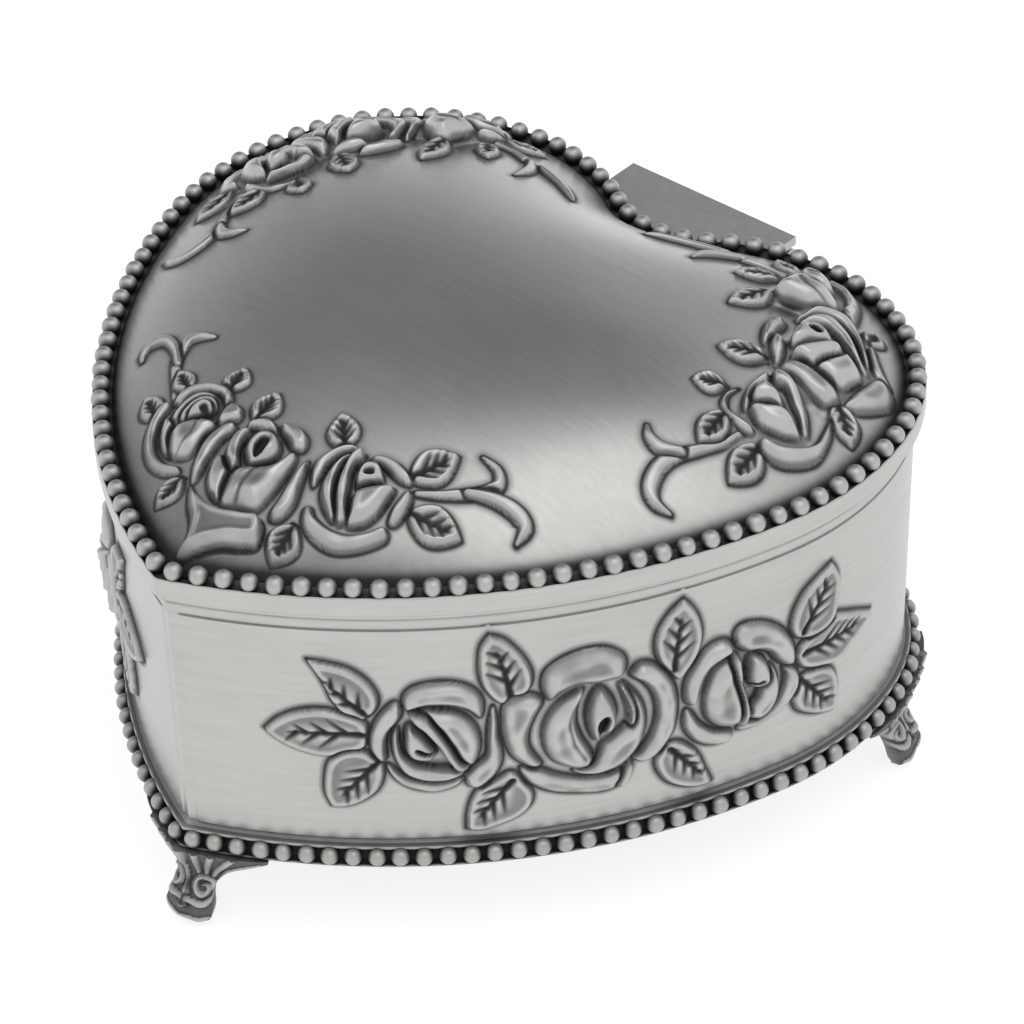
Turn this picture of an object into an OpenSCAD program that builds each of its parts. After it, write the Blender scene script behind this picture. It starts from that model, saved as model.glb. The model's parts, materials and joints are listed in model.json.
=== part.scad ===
// Heart-shaped keepsake casket with a wind-up musical movement under its tray.
// The origin is at the bottom centre of the bounding box, +Z is up, the heart's
// point looks along -Y and the hinge is at the notch, at +Y.

/* [Heart outline] */
// Radius of each lobe at its widest
lobe_r = 36.5; // [34:0.5:38]
// Distance of a lobe's centre from the middle plane
lobe_x = 13.5; // [12:0.5:15]
// Radius of the long side that runs down to the point
side_r = 84; // [80:1:90]
// Angle below the lobe's centre where the long side begins
side_turn = 17; // [14:1:20]
// Radius of the back of each lobe
rear_r = 27.4; // [26:0.2:29]
// Angle above the lobe's centre where the back begins
rear_turn = 16; // [13:1:19]
// Radius of the notch between the lobes
notch_r = 12.6; // [11:0.2:14]
// Radius of the point
tip_r = 0.3; // [0.2:0.1:1]

/* [Casket] */
// Height of the rim's underside above the table
foot_h = 11.3; // [10:0.1:12]
// Height of the beaded rim round the base
rim_h = 3.2; // [3:0.1:3.6]
// Height of the wall's top edge
body_top = 49; // [48.5:0.1:49.1]
// Thickness of the cast wall
wall_t = 1.8; // [1.5:0.1:2]
// Diameter of a bead
bead_d = 2.1; // [1.9:0.1:2.3]
// Direction of the side feet from the middle of a lobe
foot_turn = 20; // [16:1:24]

/* [Lid] */
// Height of the lid skirt's lower edge
lid_z = 49.2; // [49.1:0.1:49.3]
// Height of the bead line on the lid
bead_z = 52.5; // [52:0.1:53]
// Height of the dome's middle
dome_z = 65; // [60:0.5:66]
// Height of the raised roses on the lid
rose_z = 59.6; // [58:0.2:62]
// Thickness of the lid
lid_t = 1.5; // [1.2:0.1:1.8]

/* [Hinge] */
// Width of the hinge plate across the notch
hinge_w = 26; // [22:1:28]
// Height of the hinge axis
hinge_z = 47.3; // [47:0.1:47.5]
// Radius of a hinge knuckle
knuckle_r = 1.5; // [1.4:0.1:1.6]
// Radius of the hinge pin
pin_r = 0.8; // [0.6:0.1:0.9]

/* [Movement] */
// Length of the movement's bedplate
bed_w = 51; // [50:0.5:52]
// Width of the movement's bedplate
bed_d = 41; // [40:0.5:42]
// Thickness of the bedplate
bed_t = 2.4; // [2:0.1:2.6]
// Teeth of the great wheel
great_teeth = 36; // [36]
// Teeth of the pinion on the cylinder's arbor
pinion_teeth = 12; // [12]
// Teeth of the cylinder's gear
drum_teeth = 36; // [36]
// Teeth of the governor's pinion
gov_pinion_teeth = 12; // [12]
// Teeth of the governor's wheel
gov_wheel_teeth = 24; // [24]
// Number of tuned teeth on the comb
comb_notes = 18; // [18]

/* [Hidden] */
$fn = 48;

// Clearance of a running fit, on the radius
run = 0.05;
// Gap between pieces that stand next to each other
gap = 0.3;

// ---- Heart outline: tangent arcs, mirrored about the middle plane ----
lobe_c = [lobe_x, 0];
side_c = lobe_c - (side_r - lobe_r) * [cos(side_turn), -sin(side_turn)];
rear_c = lobe_c - (rear_r - lobe_r) * [cos(rear_turn), sin(rear_turn)];
notch_c = [0, rear_c.y + sqrt(pow(rear_r + notch_r, 2) - pow(rear_c.x, 2))];
rear_end = atan2(notch_c.y - rear_c.y, notch_c.x - rear_c.x);
notch_end = atan2(rear_c.y - notch_c.y, rear_c.x - notch_c.x);
rear_edge = rear_c.y + rear_r;

function tip_radius(off) = max(tip_r + off, 0.2);
function tip_centre(off) =
    [0, side_c.y - sqrt(pow(side_r + off - tip_radius(off), 2) - pow(side_c.x, 2))];
function tip_end(off) = atan2(tip_centre(off).y - side_c.y, -side_c.x);
function arc(c, r, from, to, n) =
    [for (i = [0 : n - 1]) let (a = from + (to - from) * i / n) c + r * [cos(a), sin(a)]];
function half_heart(off) = concat(
    arc(tip_centre(off), tip_radius(off), -90, tip_end(off), 2),
    arc(side_c, side_r + off, tip_end(off), -side_turn, 9),
    arc(lobe_c, lobe_r + off, -side_turn, rear_turn, 5),
    arc(rear_c, rear_r + off, rear_turn, rear_end, 9),
    arc(notch_c, notch_r - off, notch_end, -90, 3)
);
// The outline grown by off, in the model's frame
function heart_points(off) =
    let (half = half_heart(off), n = len(half))
    [for (p = concat(
        half,
        [[0, notch_c.y - notch_r + off]],
        [for (i = [n - 1 : -1 : 1]) [-half[i].x, half[i].y]]
    )) p + [0, heart_y]];

module heart(off) {
    polygon(heart_points(off));
}

module slab(off, low, high) {
    translate([0, 0, low]) linear_extrude(high - low) heart(off);
}

module ring(outer, inner, low, high) {
    translate([0, 0, low]) linear_extrude(high - low) difference() {
        heart(outer);
        heart(inner);
    }
}

// ---- Levels and offsets of the casket ----
bead_r = bead_d / 2;
bead_out = 0.3;
rim_off = bead_out + bead_r;
wall_off = -0.5;
wall_in = wall_off - wall_t;
rim_top = foot_h + rim_h;
bead_low = foot_h + 1.35;
plate_t = 1.5;
plate_low = foot_h + 0.5;
plate_top = plate_low + plate_t;
plate_gap = 0.4;
lid_off = 1.1;
lid_edge = bead_z - 0.6;
knuckle_back = 4.4;
hinge_y0 = rear_edge + knuckle_back;
heart_y = -(tip_centre(rim_off).y - tip_radius(rim_off) + hinge_y0 + knuckle_r) / 2;
hinge_y = heart_y + hinge_y0;

// ---- Levels and places of the movement ----
bed_low = plate_top;
bed_top = bed_low + bed_t;
mov_y = 2;
motor = [-14, mov_y + 4];
motor_r = 11.5;
motor_h = 6.4;
arbor_r = 2;
crown_m = 0.6;
crown_r = crown_m * great_teeth / 2;
wheel_low = bed_top + motor_h + 0.4;
wheel_top = wheel_low + 1;
crown_pitch_z = wheel_top + 0.7;
crown_tip_z = crown_pitch_z + 0.45;
drum_y = motor.y;
drum_z = crown_pitch_z + crown_m * pinion_teeth / 2;
drum_r = 6.4;
drum_x = [0.6, 17.6];
drum_arbor_r = 1;
gear_m = 0.4;
drum_gear_x = [18, 19];
gov_gap = 0.06;
gov_turn = 30;
gov_dist = gear_m * (drum_teeth + gov_pinion_teeth) / 2 + gov_gap;
gov_y = drum_y + gov_dist * cos(gov_turn);
gov_z = drum_z - gov_dist * sin(gov_turn);
gov_arbor_r = 0.6;
gov_wheel_x = [20, 21];
gov_plate_x = [15.4, 16.4];
gov_side_x = [22.2, 23.4];
worm_r = 1.2;
worm_wave = 0.33;
worm_starts = 2;
worm_turns = 2;
worm_h = worm_turns * worm_starts * PI * gear_m;
fan_x = (gov_wheel_x[0] + gov_wheel_x[1]) / 2;
fan_y = gov_y + gear_m * gov_wheel_teeth / 2 + worm_r + gov_gap;
fan_arbor_r = 0.5;
fan_r = 3.3;
fan_z = [bed_top + 11.8, bed_top + 15.6];
fan_top = bed_top + 16.4;
comb_t = 0.9;
comb_pitch = (drum_x[1] - drum_x[0] - 1) / comb_notes;
comb_tip_y = drum_y - drum_r - 0.6;
comb_heel_y = comb_tip_y - 9;
comb_back_y = comb_heel_y - 6;
comb_mid_x = (drum_x[0] + drum_x[1]) / 2;
tray_low = drum_z + gear_m * drum_teeth / 2 + 1.4;
tray_t = 1;
tray_off = wall_in - 0.4;
tray_top = body_top - 0.8;
lining_t = 0.8;
stop_r = 1;
stop_at = [19, heart_y + 22.6];
stop_top = tray_top + 0.5;
screw_r = 1.2;

// ---- Casket ----
pillar_r = 2.8;
pillars = [[0, heart_y - 53.2], [-45.2, heart_y + 2], [45.2, heart_y + 2]];
web_t = 2.4;
web_w = 8;

module casket_body() {
    color("silver") {
        difference() {
            union() {
                ring(wall_off, wall_in, rim_top, body_top);
                ring(wall_off + 0.5, wall_off, body_top - 1.6, body_top);
                for (p = pillars) translate([p.x, p.y, rim_top])
                    cylinder(r = pillar_r, h = tray_low - rim_top);
                intersection() {
                    slab(wall_in - 0.1, plate_top, rim_top);
                    for (p = pillars) translate([p.x, p.y, plate_top])
                        cylinder(r = pillar_r, h = tray_low - plate_top);
                }
                intersection() {
                    slab(wall_in + 0.3, rim_top, tray_low);
                    translate([-web_t / 2, pillars[0].y - web_w, rim_top])
                        cube([web_t, web_w, tray_low - rim_top]);
                }
            }
            for (p = pillars) translate([p.x, p.y, plate_top - 1])
                cylinder(r = screw_r + run, h = 10);
        }
    }
}

module base_rim() {
    color("silver") {
        ring(wall_off, wall_in, foot_h, rim_top);
        ring(wall_off + 0.4, wall_off, foot_h, rim_top - 0.6);
        ring(rim_off - 0.5, wall_off + 0.4, bead_low - bead_r, bead_low + bead_r);
        ring(rim_off, rim_off - 0.5, bead_low - 0.6, bead_low + 0.6);
    }
}

// A foot narrows from the rim to a waist and flares out again at the toe.
// Each level is [height, half width, inner face, outer face].
foot_levels = [
    [foot_h, 10.5, -3.5, 0],
    [8, 6.5, -3, 0.2],
    [5.6, 4.4, -2.2, 1.4],
    [2.6, 4.3, -0.6, 3.4],
    [0, 2.6, 0.2, 2.8]
];

module foot_level(level, skin) {
    translate([0, 0, level[0] - skin]) linear_extrude(skin)
        polygon([
            [level[2], -level[1]], [level[3] - 0.8, -level[1]], [level[3], -level[1] / 2],
            [level[3], level[1] / 2], [level[3] - 0.8, level[1]], [level[2], level[1]]
        ]);
}

module foot() {
    color("silver") for (i = [0 : len(foot_levels) - 2]) hull() {
        foot_level(foot_levels[i], 0.1);
        translate([0, 0, 0.1]) foot_level(foot_levels[i + 1], 0.1);
    }
}

module side_foot(side) {
    translate([side * lobe_x, heart_y, 0])
        rotate([0, 0, 90 - side * (90 - foot_turn)])
        translate([lobe_r, 0, 0]) foot();
}

module foot_front() {
    tip_y = heart_y + tip_centre(0).y;
    color("silver") for (i = [0 : len(foot_levels) - 2]) hull() {
        front_level(foot_levels[i], tip_y, 0.1);
        translate([0, 0, 0.1]) front_level(foot_levels[i + 1], tip_y, 0.1);
    }
}

// The same level bent round the point of the heart
module front_level(level, tip_y, skin) {
    out = tip_y - min(level[3] * 0.35, 1);
    back = level[1] * 0.42;
    depth = 3;
    translate([0, 0, level[0] - skin]) linear_extrude(skin)
        polygon([
            [0, out], [level[1] * 0.9, out + back], [level[1] * 0.9, out + back + depth],
            [-level[1] * 0.9, out + back + depth], [-level[1] * 0.9, out + back]
        ]);
}

module foot_left() {
    side_foot(-1);
}

module foot_right() {
    side_foot(1);
}

key_hole_r = 3.6;
bed_screws = [[-21, mov_y - 15], [21.5, mov_y - 15.5], [8, mov_y + 17]];

module bottom_plate() {
    color("dimgray") difference() {
        slab(wall_in - plate_gap, plate_low, plate_top);
        translate([motor.x, motor.y, plate_low - 1]) cylinder(r = key_hole_r, h = plate_t + 2);
        for (p = concat(pillars, bed_screws)) translate([p.x, p.y, plate_low - 1])
            cylinder(r = screw_r + 0.2, h = plate_t + 2);
    }
}

// Pan-head screw that points up, with its head's upper face at the origin
module screw(r, length, head_r, head_h) {
    translate([0, 0, -head_h]) difference() {
        union() {
            cylinder(r = head_r, h = head_h);
            cylinder(r = r, h = head_h + length);
        }
        translate([-head_r, -0.3, -1]) cube([2 * head_r, 0.6, 1 + head_h * 0.45]);
    }
}

module bottom_screws() {
    color("gainsboro") for (p = pillars) translate([p.x, p.y, plate_low])
        screw(screw_r, 8, 2.2, 1.2);
}

// ---- Lid: one shell whose rings follow the heart, then shrink to the dome ----
dome_c = [0, heart_y - 11];
dome_steps = [1, 0.95, 0.88, 0.78, 0.65, 0.5, 0.34, 0.17];
dome_off = -bead_r - 0.3;
dome_in = 0.8;

function dome_rise(s) = pow(1 - pow(s, 1.85), 0.81);
function ring_3d(off, z) = [for (p = heart_points(off)) [p.x, p.y, z]];
function dome_ring(off, s, low, high) =
    [for (p = heart_points(off))
        let (q = dome_c + s * (p - dome_c)) [q.x, q.y, low + (high - low) * dome_rise(s)]];
lid_rings = concat(
    [ring_3d(lid_off - lid_t, lid_z), ring_3d(lid_off, lid_z), ring_3d(lid_off, lid_edge)],
    [ring_3d(bead_r - 0.3, bead_z + bead_r), ring_3d(0.3 - bead_r, bead_z + bead_r)],
    [for (s = dome_steps) dome_ring(dome_off, s, lid_edge, dome_z)],
    [for (i = [len(dome_steps) - 1 : -1 : 0])
        dome_ring(dome_off - dome_in, dome_steps[i], lid_edge - lid_t, dome_z - lid_t)]
);

// Closed shell through a loop of rings. The step from ring cap to the next one is
// left out, and the two rings close on the points peaks instead.
module ring_shell(rings, cap, peaks) {
    n = len(rings[0]);
    m = len(rings);
    walls = [for (k = [0 : m - 1], i = [0 : n - 1]) if (k != cap)
        let (a = k * n, b = ((k + 1) % m) * n, j = (i + 1) % n)
        for (t = [0 : 1]) t == 0 ? [a + i, b + i, b + j] : [a + i, b + j, a + j]];
    top = m * n;
    caps = [for (i = [0 : n - 1]) let (j = (i + 1) % n, a = cap * n, b = (cap + 1) * n)
        for (t = [0 : 1]) t == 0 ? [a + i, top, a + j] : [b + j, top + 1, b + i]];
    points = concat([for (r = rings) for (p = r) p], peaks);
    polyhedron(points = points, faces = concat(walls, caps), convexity = 6);
}

// Middles of the raised roses on the lid
lid_roses = [
    [-11, -45], [0, -47.5], [13, -44],
    [38, -1.5], [35, 9.5], [26, 18.5],
    [-38, -1.5], [-35, 9.5], [-26, 18.5]
];

module lid_shell() {
    rose_low = lid_edge + 1;
    color("silver") {
        ring_shell(lid_rings, 4 + len(dome_steps), [
            [dome_c.x, dome_c.y, dome_z], [dome_c.x, dome_c.y, dome_z - lid_t]
        ]);
        for (p = lid_roses) translate([p.x, heart_y + p.y, rose_low])
            cylinder(r1 = 6, r2 = 4, h = rose_z - rose_low);
    }
}

module lid_lining() {
    color("maroon") slab(dome_off - dome_in - gap, lid_z + gap, lid_edge - lid_t - 0.1);
}

// ---- Hinge ----
knuckle_x = 4;

module knuckle(from, to, bore) {
    translate([from, hinge_y, hinge_z]) rotate([0, 90, 0]) difference() {
        cylinder(r = knuckle_r, h = to - from);
        translate([0, 0, -1]) cylinder(r = bore, h = to - from + 2);
    }
}

module hinge_leaf_body() {
    leaf_t = 1.2;
    color("darkgray") {
        for (side = [-1, 1]) difference() {
            union() {
                translate([side < 0 ? -hinge_w / 2 : knuckle_x + gap, 0, 0]) {
                    leaf_w = hinge_w / 2 - knuckle_x - gap;
                    translate([0, heart_y + 20, hinge_z - knuckle_r])
                        cube([leaf_w, hinge_y - heart_y - 20, leaf_t]);
                    translate([0, hinge_y, hinge_z]) rotate([0, 90, 0])
                        cylinder(r = knuckle_r, h = leaf_w);
                }
            }
            slab(wall_off, 0, body_top);
            translate([-hinge_w, hinge_y, hinge_z]) rotate([0, 90, 0])
                cylinder(r = pin_r + run, h = 2 * hinge_w);
        }
        difference() {
            translate([-hinge_w / 2, heart_y + 20, hinge_z - knuckle_r - leaf_t])
                cube([hinge_w, hinge_y - heart_y - 20, leaf_t]);
            slab(wall_off, 0, body_top);
        }
    }
}

module hinge_leaf_lid() {
    leaf_top = lid_z + 1.2;
    color("darkgray") difference() {
        union() {
            translate([-hinge_w / 2, heart_y + 20, lid_z])
                cube([hinge_w, hinge_y + 1 - heart_y - 20, leaf_top - lid_z]);
            translate([-knuckle_x, hinge_y - knuckle_r, hinge_z])
                cube([2 * knuckle_x, 2 * knuckle_r, lid_z - hinge_z + 0.4]);
            translate([-knuckle_x, hinge_y, hinge_z]) rotate([0, 90, 0])
                cylinder(r = knuckle_r, h = 2 * knuckle_x);
        }
        slab(lid_off, lid_z - 1, leaf_top + 1);
        translate([-hinge_w, hinge_y, hinge_z]) rotate([0, 90, 0])
            cylinder(r = pin_r + run, h = 2 * hinge_w);
    }
}

module hinge_pin() {
    color("gray") translate([-hinge_w / 2 - 0.4, hinge_y, hinge_z]) rotate([0, 90, 0])
        cylinder(r = pin_r, h = hinge_w + 0.8);
}

// ---- Tray over the movement ----
module inner_tray() {
    color("black") difference() {
        slab(tray_off, tray_low, tray_top);
        slab(tray_off - tray_t, tray_low + tray_t, tray_top + 1);
        translate([stop_at.x, stop_at.y, tray_low - 1]) cylinder(r = stop_r + gap, h = 3);
    }
}

module tray_lining() {
    color("maroon") difference() {
        slab(tray_off - tray_t, tray_low + tray_t, tray_top);
        slab(tray_off - tray_t - lining_t, tray_low + tray_t + lining_t, tray_top + 1);
        translate([stop_at.x, stop_at.y, tray_low]) cylinder(r = stop_r + gap, h = 3);
    }
}

// ---- Movement: bedplate and spring motor ----
module movement_bedplate() {
    color("goldenrod") difference() {
        translate([-bed_w / 2, mov_y - bed_d / 2, bed_low]) cube([bed_w, bed_d, bed_t]);
        translate([motor.x, motor.y, bed_low - 1]) cylinder(r = arbor_r + run, h = bed_t + 2);
        for (p = bed_screws) translate([p.x, p.y, bed_low - 1])
            cylinder(r = screw_r + run, h = bed_t + 2);
    }
}

module movement_screws() {
    color("gainsboro") for (p = bed_screws) translate([p.x, p.y, plate_low])
        screw(screw_r, plate_t + bed_t - 0.2, 2.4, 1.2);
}

housing_lugs = [[motor.x - 8.5, motor.y - 12.5], [motor.x + 7, motor.y + 12.5]];
small_screw_r = 0.7;
housing_t = 0.8;
lug_t = 0.8;

module spring_housing() {
    color("silver") difference() {
        union() {
            translate([motor.x, motor.y, bed_top]) cylinder(r = motor_r, h = motor_h);
            for (p = housing_lugs) hull() {
                translate([p.x, p.y, bed_top]) cylinder(r = 2, h = lug_t, $fn = 32);
                translate([(p.x + motor.x) / 2, (p.y + motor.y) / 2, bed_top])
                    cylinder(r = 2, h = lug_t, $fn = 32);
            }
        }
        translate([motor.x, motor.y, bed_top - 1])
            cylinder(r = motor_r - housing_t, h = 1 + motor_h - housing_t);
        translate([motor.x, motor.y, bed_top]) cylinder(r = arbor_r + run, h = motor_h + 1);
        for (p = housing_lugs) translate([p.x, p.y, bed_top - 1])
            cylinder(r = small_screw_r + run, h = 3);
    }
}

// Screw that points down, with its head's lower face at the origin
module small_screw() {
    difference() {
        union() {
            cylinder(r = 1.3, h = 0.8);
            translate([0, 0, -lug_t]) cylinder(r = small_screw_r, h = lug_t + 0.8);
        }
        translate([-1.3, -0.15, 0.5]) cube([2.6, 0.3, 1]);
    }
}

module housing_screws() {
    color("gainsboro") for (p = housing_lugs) translate([p.x, p.y, bed_top + lug_t]) small_screw();
}

// Flat coil between the arbor and the housing, evenly spaced
spring_turns = 5;
spring_step = 12;
spring_in = arbor_r + 0.6;
spring_out = motor_r - housing_t - 0.7;
spring_t = 0.4;

function spiral(extra, from, to, step) =
    [for (a = [from : step : to])
        let (r = spring_in + (spring_out - spring_in) * a / (360 * spring_turns) + extra)
        r * [cos(a), sin(a)]];

module mainspring() {
    last = 360 * spring_turns;
    color("steelblue") translate([motor.x, motor.y, bed_top + 0.6]) linear_extrude(motor_h - 2)
        polygon(concat(spiral(0, 0, last, spring_step), spiral(spring_t, last, 0, -spring_step)));
}

// Wheel with blunt teeth, each a trapezium with its flanks at fl and its tip at tp
module spur(teeth, m, up, down, half_pitch, half_tip, h, bore) {
    r = m * teeth / 2;
    root = r - down;
    half_root = 2 * half_pitch - half_tip;
    linear_extrude(h) difference() {
        polygon([for (i = [0 : teeth - 1]) for (k = [0 : 3])
            let (
                side = k < 2 ? -1 : 1,
                low = k == 0 || k == 3,
                a = 360 * i / teeth,
                y = side * (low ? half_root : half_tip),
                x = low ? root : r + up
            )
            [x * cos(a) - y * sin(a), x * sin(a) + y * cos(a)]]);
        circle(r = bore);
    }
}

// Crown wheel: teeth stand up from the edge of a disc
module great_wheel() {
    half_low = 0.42;
    half_high = 0.2;
    tooth_h = crown_tip_z - wheel_top;
    inner = crown_r - 1;
    color("goldenrod") translate([motor.x, motor.y, wheel_low]) {
        difference() {
            cylinder(r = crown_r + 0.8, h = wheel_top - wheel_low);
            translate([0, 0, -1]) cylinder(r = arbor_r + run, h = 3);
        }
        for (i = [0 : great_teeth - 1]) rotate([0, 0, (i + 0.5) * 360 / great_teeth])
            translate([inner, 0, wheel_top - wheel_low - 0.05]) rotate([90, 0, 90])
            linear_extrude(1.7) polygon([
                [-half_low, 0], [half_low, 0],
                [half_high, tooth_h + 0.05], [-half_high, tooth_h + 0.05]
            ]);
    }
}

ratchet_r = 4.4;
ratchet_low = wheel_top + gap;
click_at = [motor.x - 5.2, motor.y + 5.2];

module click_pawl() {
    tip_at = [motor.x + 1.2, motor.y + ratchet_r + 0.25];
    color("silver") translate([0, 0, wheel_top]) linear_extrude(0.9) difference() {
        union() {
            translate(click_at) circle(r = 1.4);
            polygon([
                click_at + [-0.4, 1.3], click_at + [0.5, -0.6],
                tip_at + [0, 0], tip_at + [0.3, 0.7]
            ]);
        }
        translate(click_at) circle(r = small_screw_r + run);
    }
}

module click_screw() {
    color("gainsboro") translate([click_at.x, click_at.y, wheel_top + 0.9]) difference() {
        union() {
            cylinder(r = 1.2, h = 0.5);
            translate([0, 0, -0.9]) cylinder(r = small_screw_r, h = 1.4);
        }
        translate([-1.2, -0.15, 0.25]) cube([2.4, 0.3, 1]);
    }
}

module ratchet_wheel() {
    teeth = 16;
    depth = 0.7;
    color("silver") translate([motor.x, motor.y, ratchet_low]) linear_extrude(0.9) difference() {
        polygon([for (i = [0 : teeth - 1]) for (k = [0 : 1])
            let (r = ratchet_r - depth * k, a = 360 * (i + 0.08 * k) / teeth)
            r * [cos(a), sin(a)]]);
        circle(r = arbor_r + 0.02);
    }
}

key_hub_r = 3.2;
key_top = plate_low - 0.8;
key_low = 1.8;
key_t = 1.8;

module winding_arbor() {
    color("silver") translate([motor.x, motor.y, key_top - 4])
        cylinder(r = arbor_r, h = ratchet_low + 1.6 - key_top + 4);
}

module winding_key() {
    wing_r = 3.9;
    wing_x = 7;
    wing_z = key_low + wing_r;
    color("silver") translate([motor.x, motor.y, 0]) difference() {
        union() {
            translate([0, 0, key_low + 1]) cylinder(r = key_hub_r, h = key_top - key_low - 1);
            rotate([90, 0, 0]) translate([0, 0, -key_t / 2]) linear_extrude(key_t) difference() {
                union() {
                    for (side = [-1, 1]) translate([side * wing_x, wing_z]) circle(r = wing_r);
                    translate([-wing_x, wing_z - 2.6]) square([2 * wing_x, 5.2]);
                }
                for (side = [-1, 1]) translate([side * (wing_x + 0.4), wing_z]) circle(r = 1.6);
            }
        }
        translate([0, 0, key_top - 4.05]) cylinder(r = arbor_r + 0.02, h = 6);
    }
}

// ---- Movement: cylinder, its gears and bearings ----
module on_drum_axis(x) {
    translate([x, drum_y, drum_z]) rotate([0, 90, 0]) children();
}

module cylinder_drum() {
    cap_t = 0.8;
    color("gold") on_drum_axis(drum_x[0]) difference() {
        cylinder(r = drum_r, h = drum_x[1] - drum_x[0]);
        translate([0, 0, cap_t]) cylinder(r = drum_r - 0.6, h = drum_x[1] - drum_x[0]);
        translate([0, 0, -1]) cylinder(r = drum_arbor_r + 0.02, h = 3);
    }
}

post_left_x = [-1.5, 0.2];
post_right_x = [22.2, 23.4];

module cylinder_arbor() {
    color("silver") on_drum_axis(-4.6)
        cylinder(r = drum_arbor_r, h = post_right_x[1] + 4.6);
}

module cylinder_pinion() {
    color("goldenrod") on_drum_axis(motor.x + crown_r - 1)
        spur(pinion_teeth, crown_m, 0.45, 0.6, 0.36, 0.17, 2, drum_arbor_r + 0.02);
}

module cylinder_gear() {
    plug_h = drum_gear_x[0] - drum_x[1] + 0.8;
    color("goldenrod") on_drum_axis(drum_gear_x[0]) {
        spur(drum_teeth, gear_m, 0.32, 0.45, 0.26, 0.13, 1, drum_arbor_r + 0.02);
        translate([0, 0, -plug_h]) difference() {
            cylinder(r = drum_r - 0.65, h = plug_h);
            translate([0, 0, -1]) cylinder(r = drum_arbor_r + 0.02, h = plug_h + 2);
        }
    }
}

module bearing_post(xs) {
    half = 2;
    color("silver") difference() {
        union() {
            translate([xs[0], drum_y - half, bed_top])
                cube([xs[1] - xs[0], 2 * half, drum_z - bed_top]);
            on_drum_axis(xs[0]) cylinder(r = half, h = xs[1] - xs[0]);
        }
        on_drum_axis(xs[0] - 1) cylinder(r = drum_arbor_r + run, h = 4);
    }
}

module bearing_post_left() {
    bearing_post(post_left_x);
}

module bearing_post_right() {
    bearing_post(post_right_x);
}

// ---- Movement: comb ----
comb_z = drum_z;
comb_screw_x = [comb_mid_x - 5, comb_mid_x + 5];
comb_screw_y = (comb_heel_y + comb_back_y) / 2;

module comb() {
    tooth_w = comb_pitch - 0.2;
    first = comb_mid_x - comb_pitch * comb_notes / 2;
    color("silver") translate([0, 0, comb_z]) linear_extrude(comb_t) difference() {
        union() {
            translate([first, comb_back_y]) square([comb_pitch * comb_notes, 6]);
            for (i = [0 : comb_notes - 1]) {
                cut = 0.24 * i / comb_notes * 9;
                translate([first + 0.1 + i * comb_pitch, comb_heel_y - 0.05])
                    square([tooth_w, comb_tip_y - comb_heel_y + 0.05]);
                translate([first + i * comb_pitch, comb_heel_y - 0.05])
                    square([comb_pitch + 0.01, cut + 0.05]);
            }
        }
        for (x = comb_screw_x) translate([x, comb_screw_y]) circle(r = screw_r + 0.1);
    }
}

module comb_base() {
    color("goldenrod") difference() {
        translate([comb_mid_x - 9, comb_back_y, bed_top]) cube([18, 6, comb_z - bed_top]);
        for (x = comb_screw_x) translate([x, comb_screw_y, comb_z - 5])
            cylinder(r = screw_r + run, h = 6);
    }
}

module comb_screws() {
    color("steelblue") for (x = comb_screw_x)
        translate([x, comb_screw_y, comb_z + comb_t]) mirror([0, 0, 1])
        screw(screw_r, 4.5, 2.2, 1.2);
}

// ---- Movement: governor ----
module on_gov_axis(x) {
    translate([x, gov_y, gov_z]) rotate([0, 90, 0]) children();
}

column_x = [fan_x + fan_r + 0.6, bed_w / 2];
frame_back = fan_y + 2;
arm_z = [fan_top, fan_top + 1.2];
foot_plate_t = 1;
frame_screw = [column_x[0] - 7, frame_back - 2];

module gov_plate(xs) {
    translate([xs[0], gov_y - 2, bed_top]) cube([xs[1] - xs[0], 4, gov_z - bed_top]);
    on_gov_axis(xs[0]) cylinder(r = 2, h = xs[1] - xs[0]);
}

module governor_frame() {
    color("ivory") difference() {
        union() {
            translate([gov_plate_x[0], gov_y - 2, bed_top])
                cube([bed_w / 2 - gov_plate_x[0], frame_back - gov_y + 2, foot_plate_t]);
            gov_plate(gov_plate_x);
            gov_plate(gov_side_x);
            translate([column_x[0], fan_y - 2, bed_top])
                cube([column_x[1] - column_x[0], 4, arm_z[1] - bed_top]);
            translate([fan_x - 1.6, fan_y - 1.6, arm_z[0]])
                cube([column_x[0] - fan_x + 1.7, 3.2, arm_z[1] - arm_z[0]]);
        }
        on_gov_axis(gov_plate_x[0] - 1) cylinder(r = gov_arbor_r + run, h = 10);
        translate([fan_x, fan_y, bed_top - 1]) cylinder(r = fan_arbor_r + run, h = 20);
        translate([frame_screw.x, frame_screw.y, bed_top - 1])
            cylinder(r = small_screw_r + run, h = 3);
    }
}

module governor_screws() {
    color("gainsboro") translate([frame_screw.x, frame_screw.y, bed_top + foot_plate_t])
        small_screw();
}

module governor_arbor() {
    color("silver") on_gov_axis(gov_plate_x[0] - 0.2)
        cylinder(r = gov_arbor_r, h = gov_side_x[1] - gov_plate_x[0] + 0.4);
}

// A tooth of the cylinder's gear looks at this pinion, so a gap looks back at it
module governor_pinion() {
    color("goldenrod") on_gov_axis(drum_gear_x[0] - 0.1)
        rotate([0, 0, 180 / gov_pinion_teeth])
        spur(gov_pinion_teeth, gear_m, 0.32, 0.45, 0.26, 0.13, 1.2, gov_arbor_r + 0.02);
}

module governor_wheel() {
    color("ivory") on_gov_axis(gov_wheel_x[0])
        spur(gov_wheel_teeth, gear_m, 0.22, 0.45, 0.2, 0.08, 1, gov_arbor_r + 0.02);
}

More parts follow.
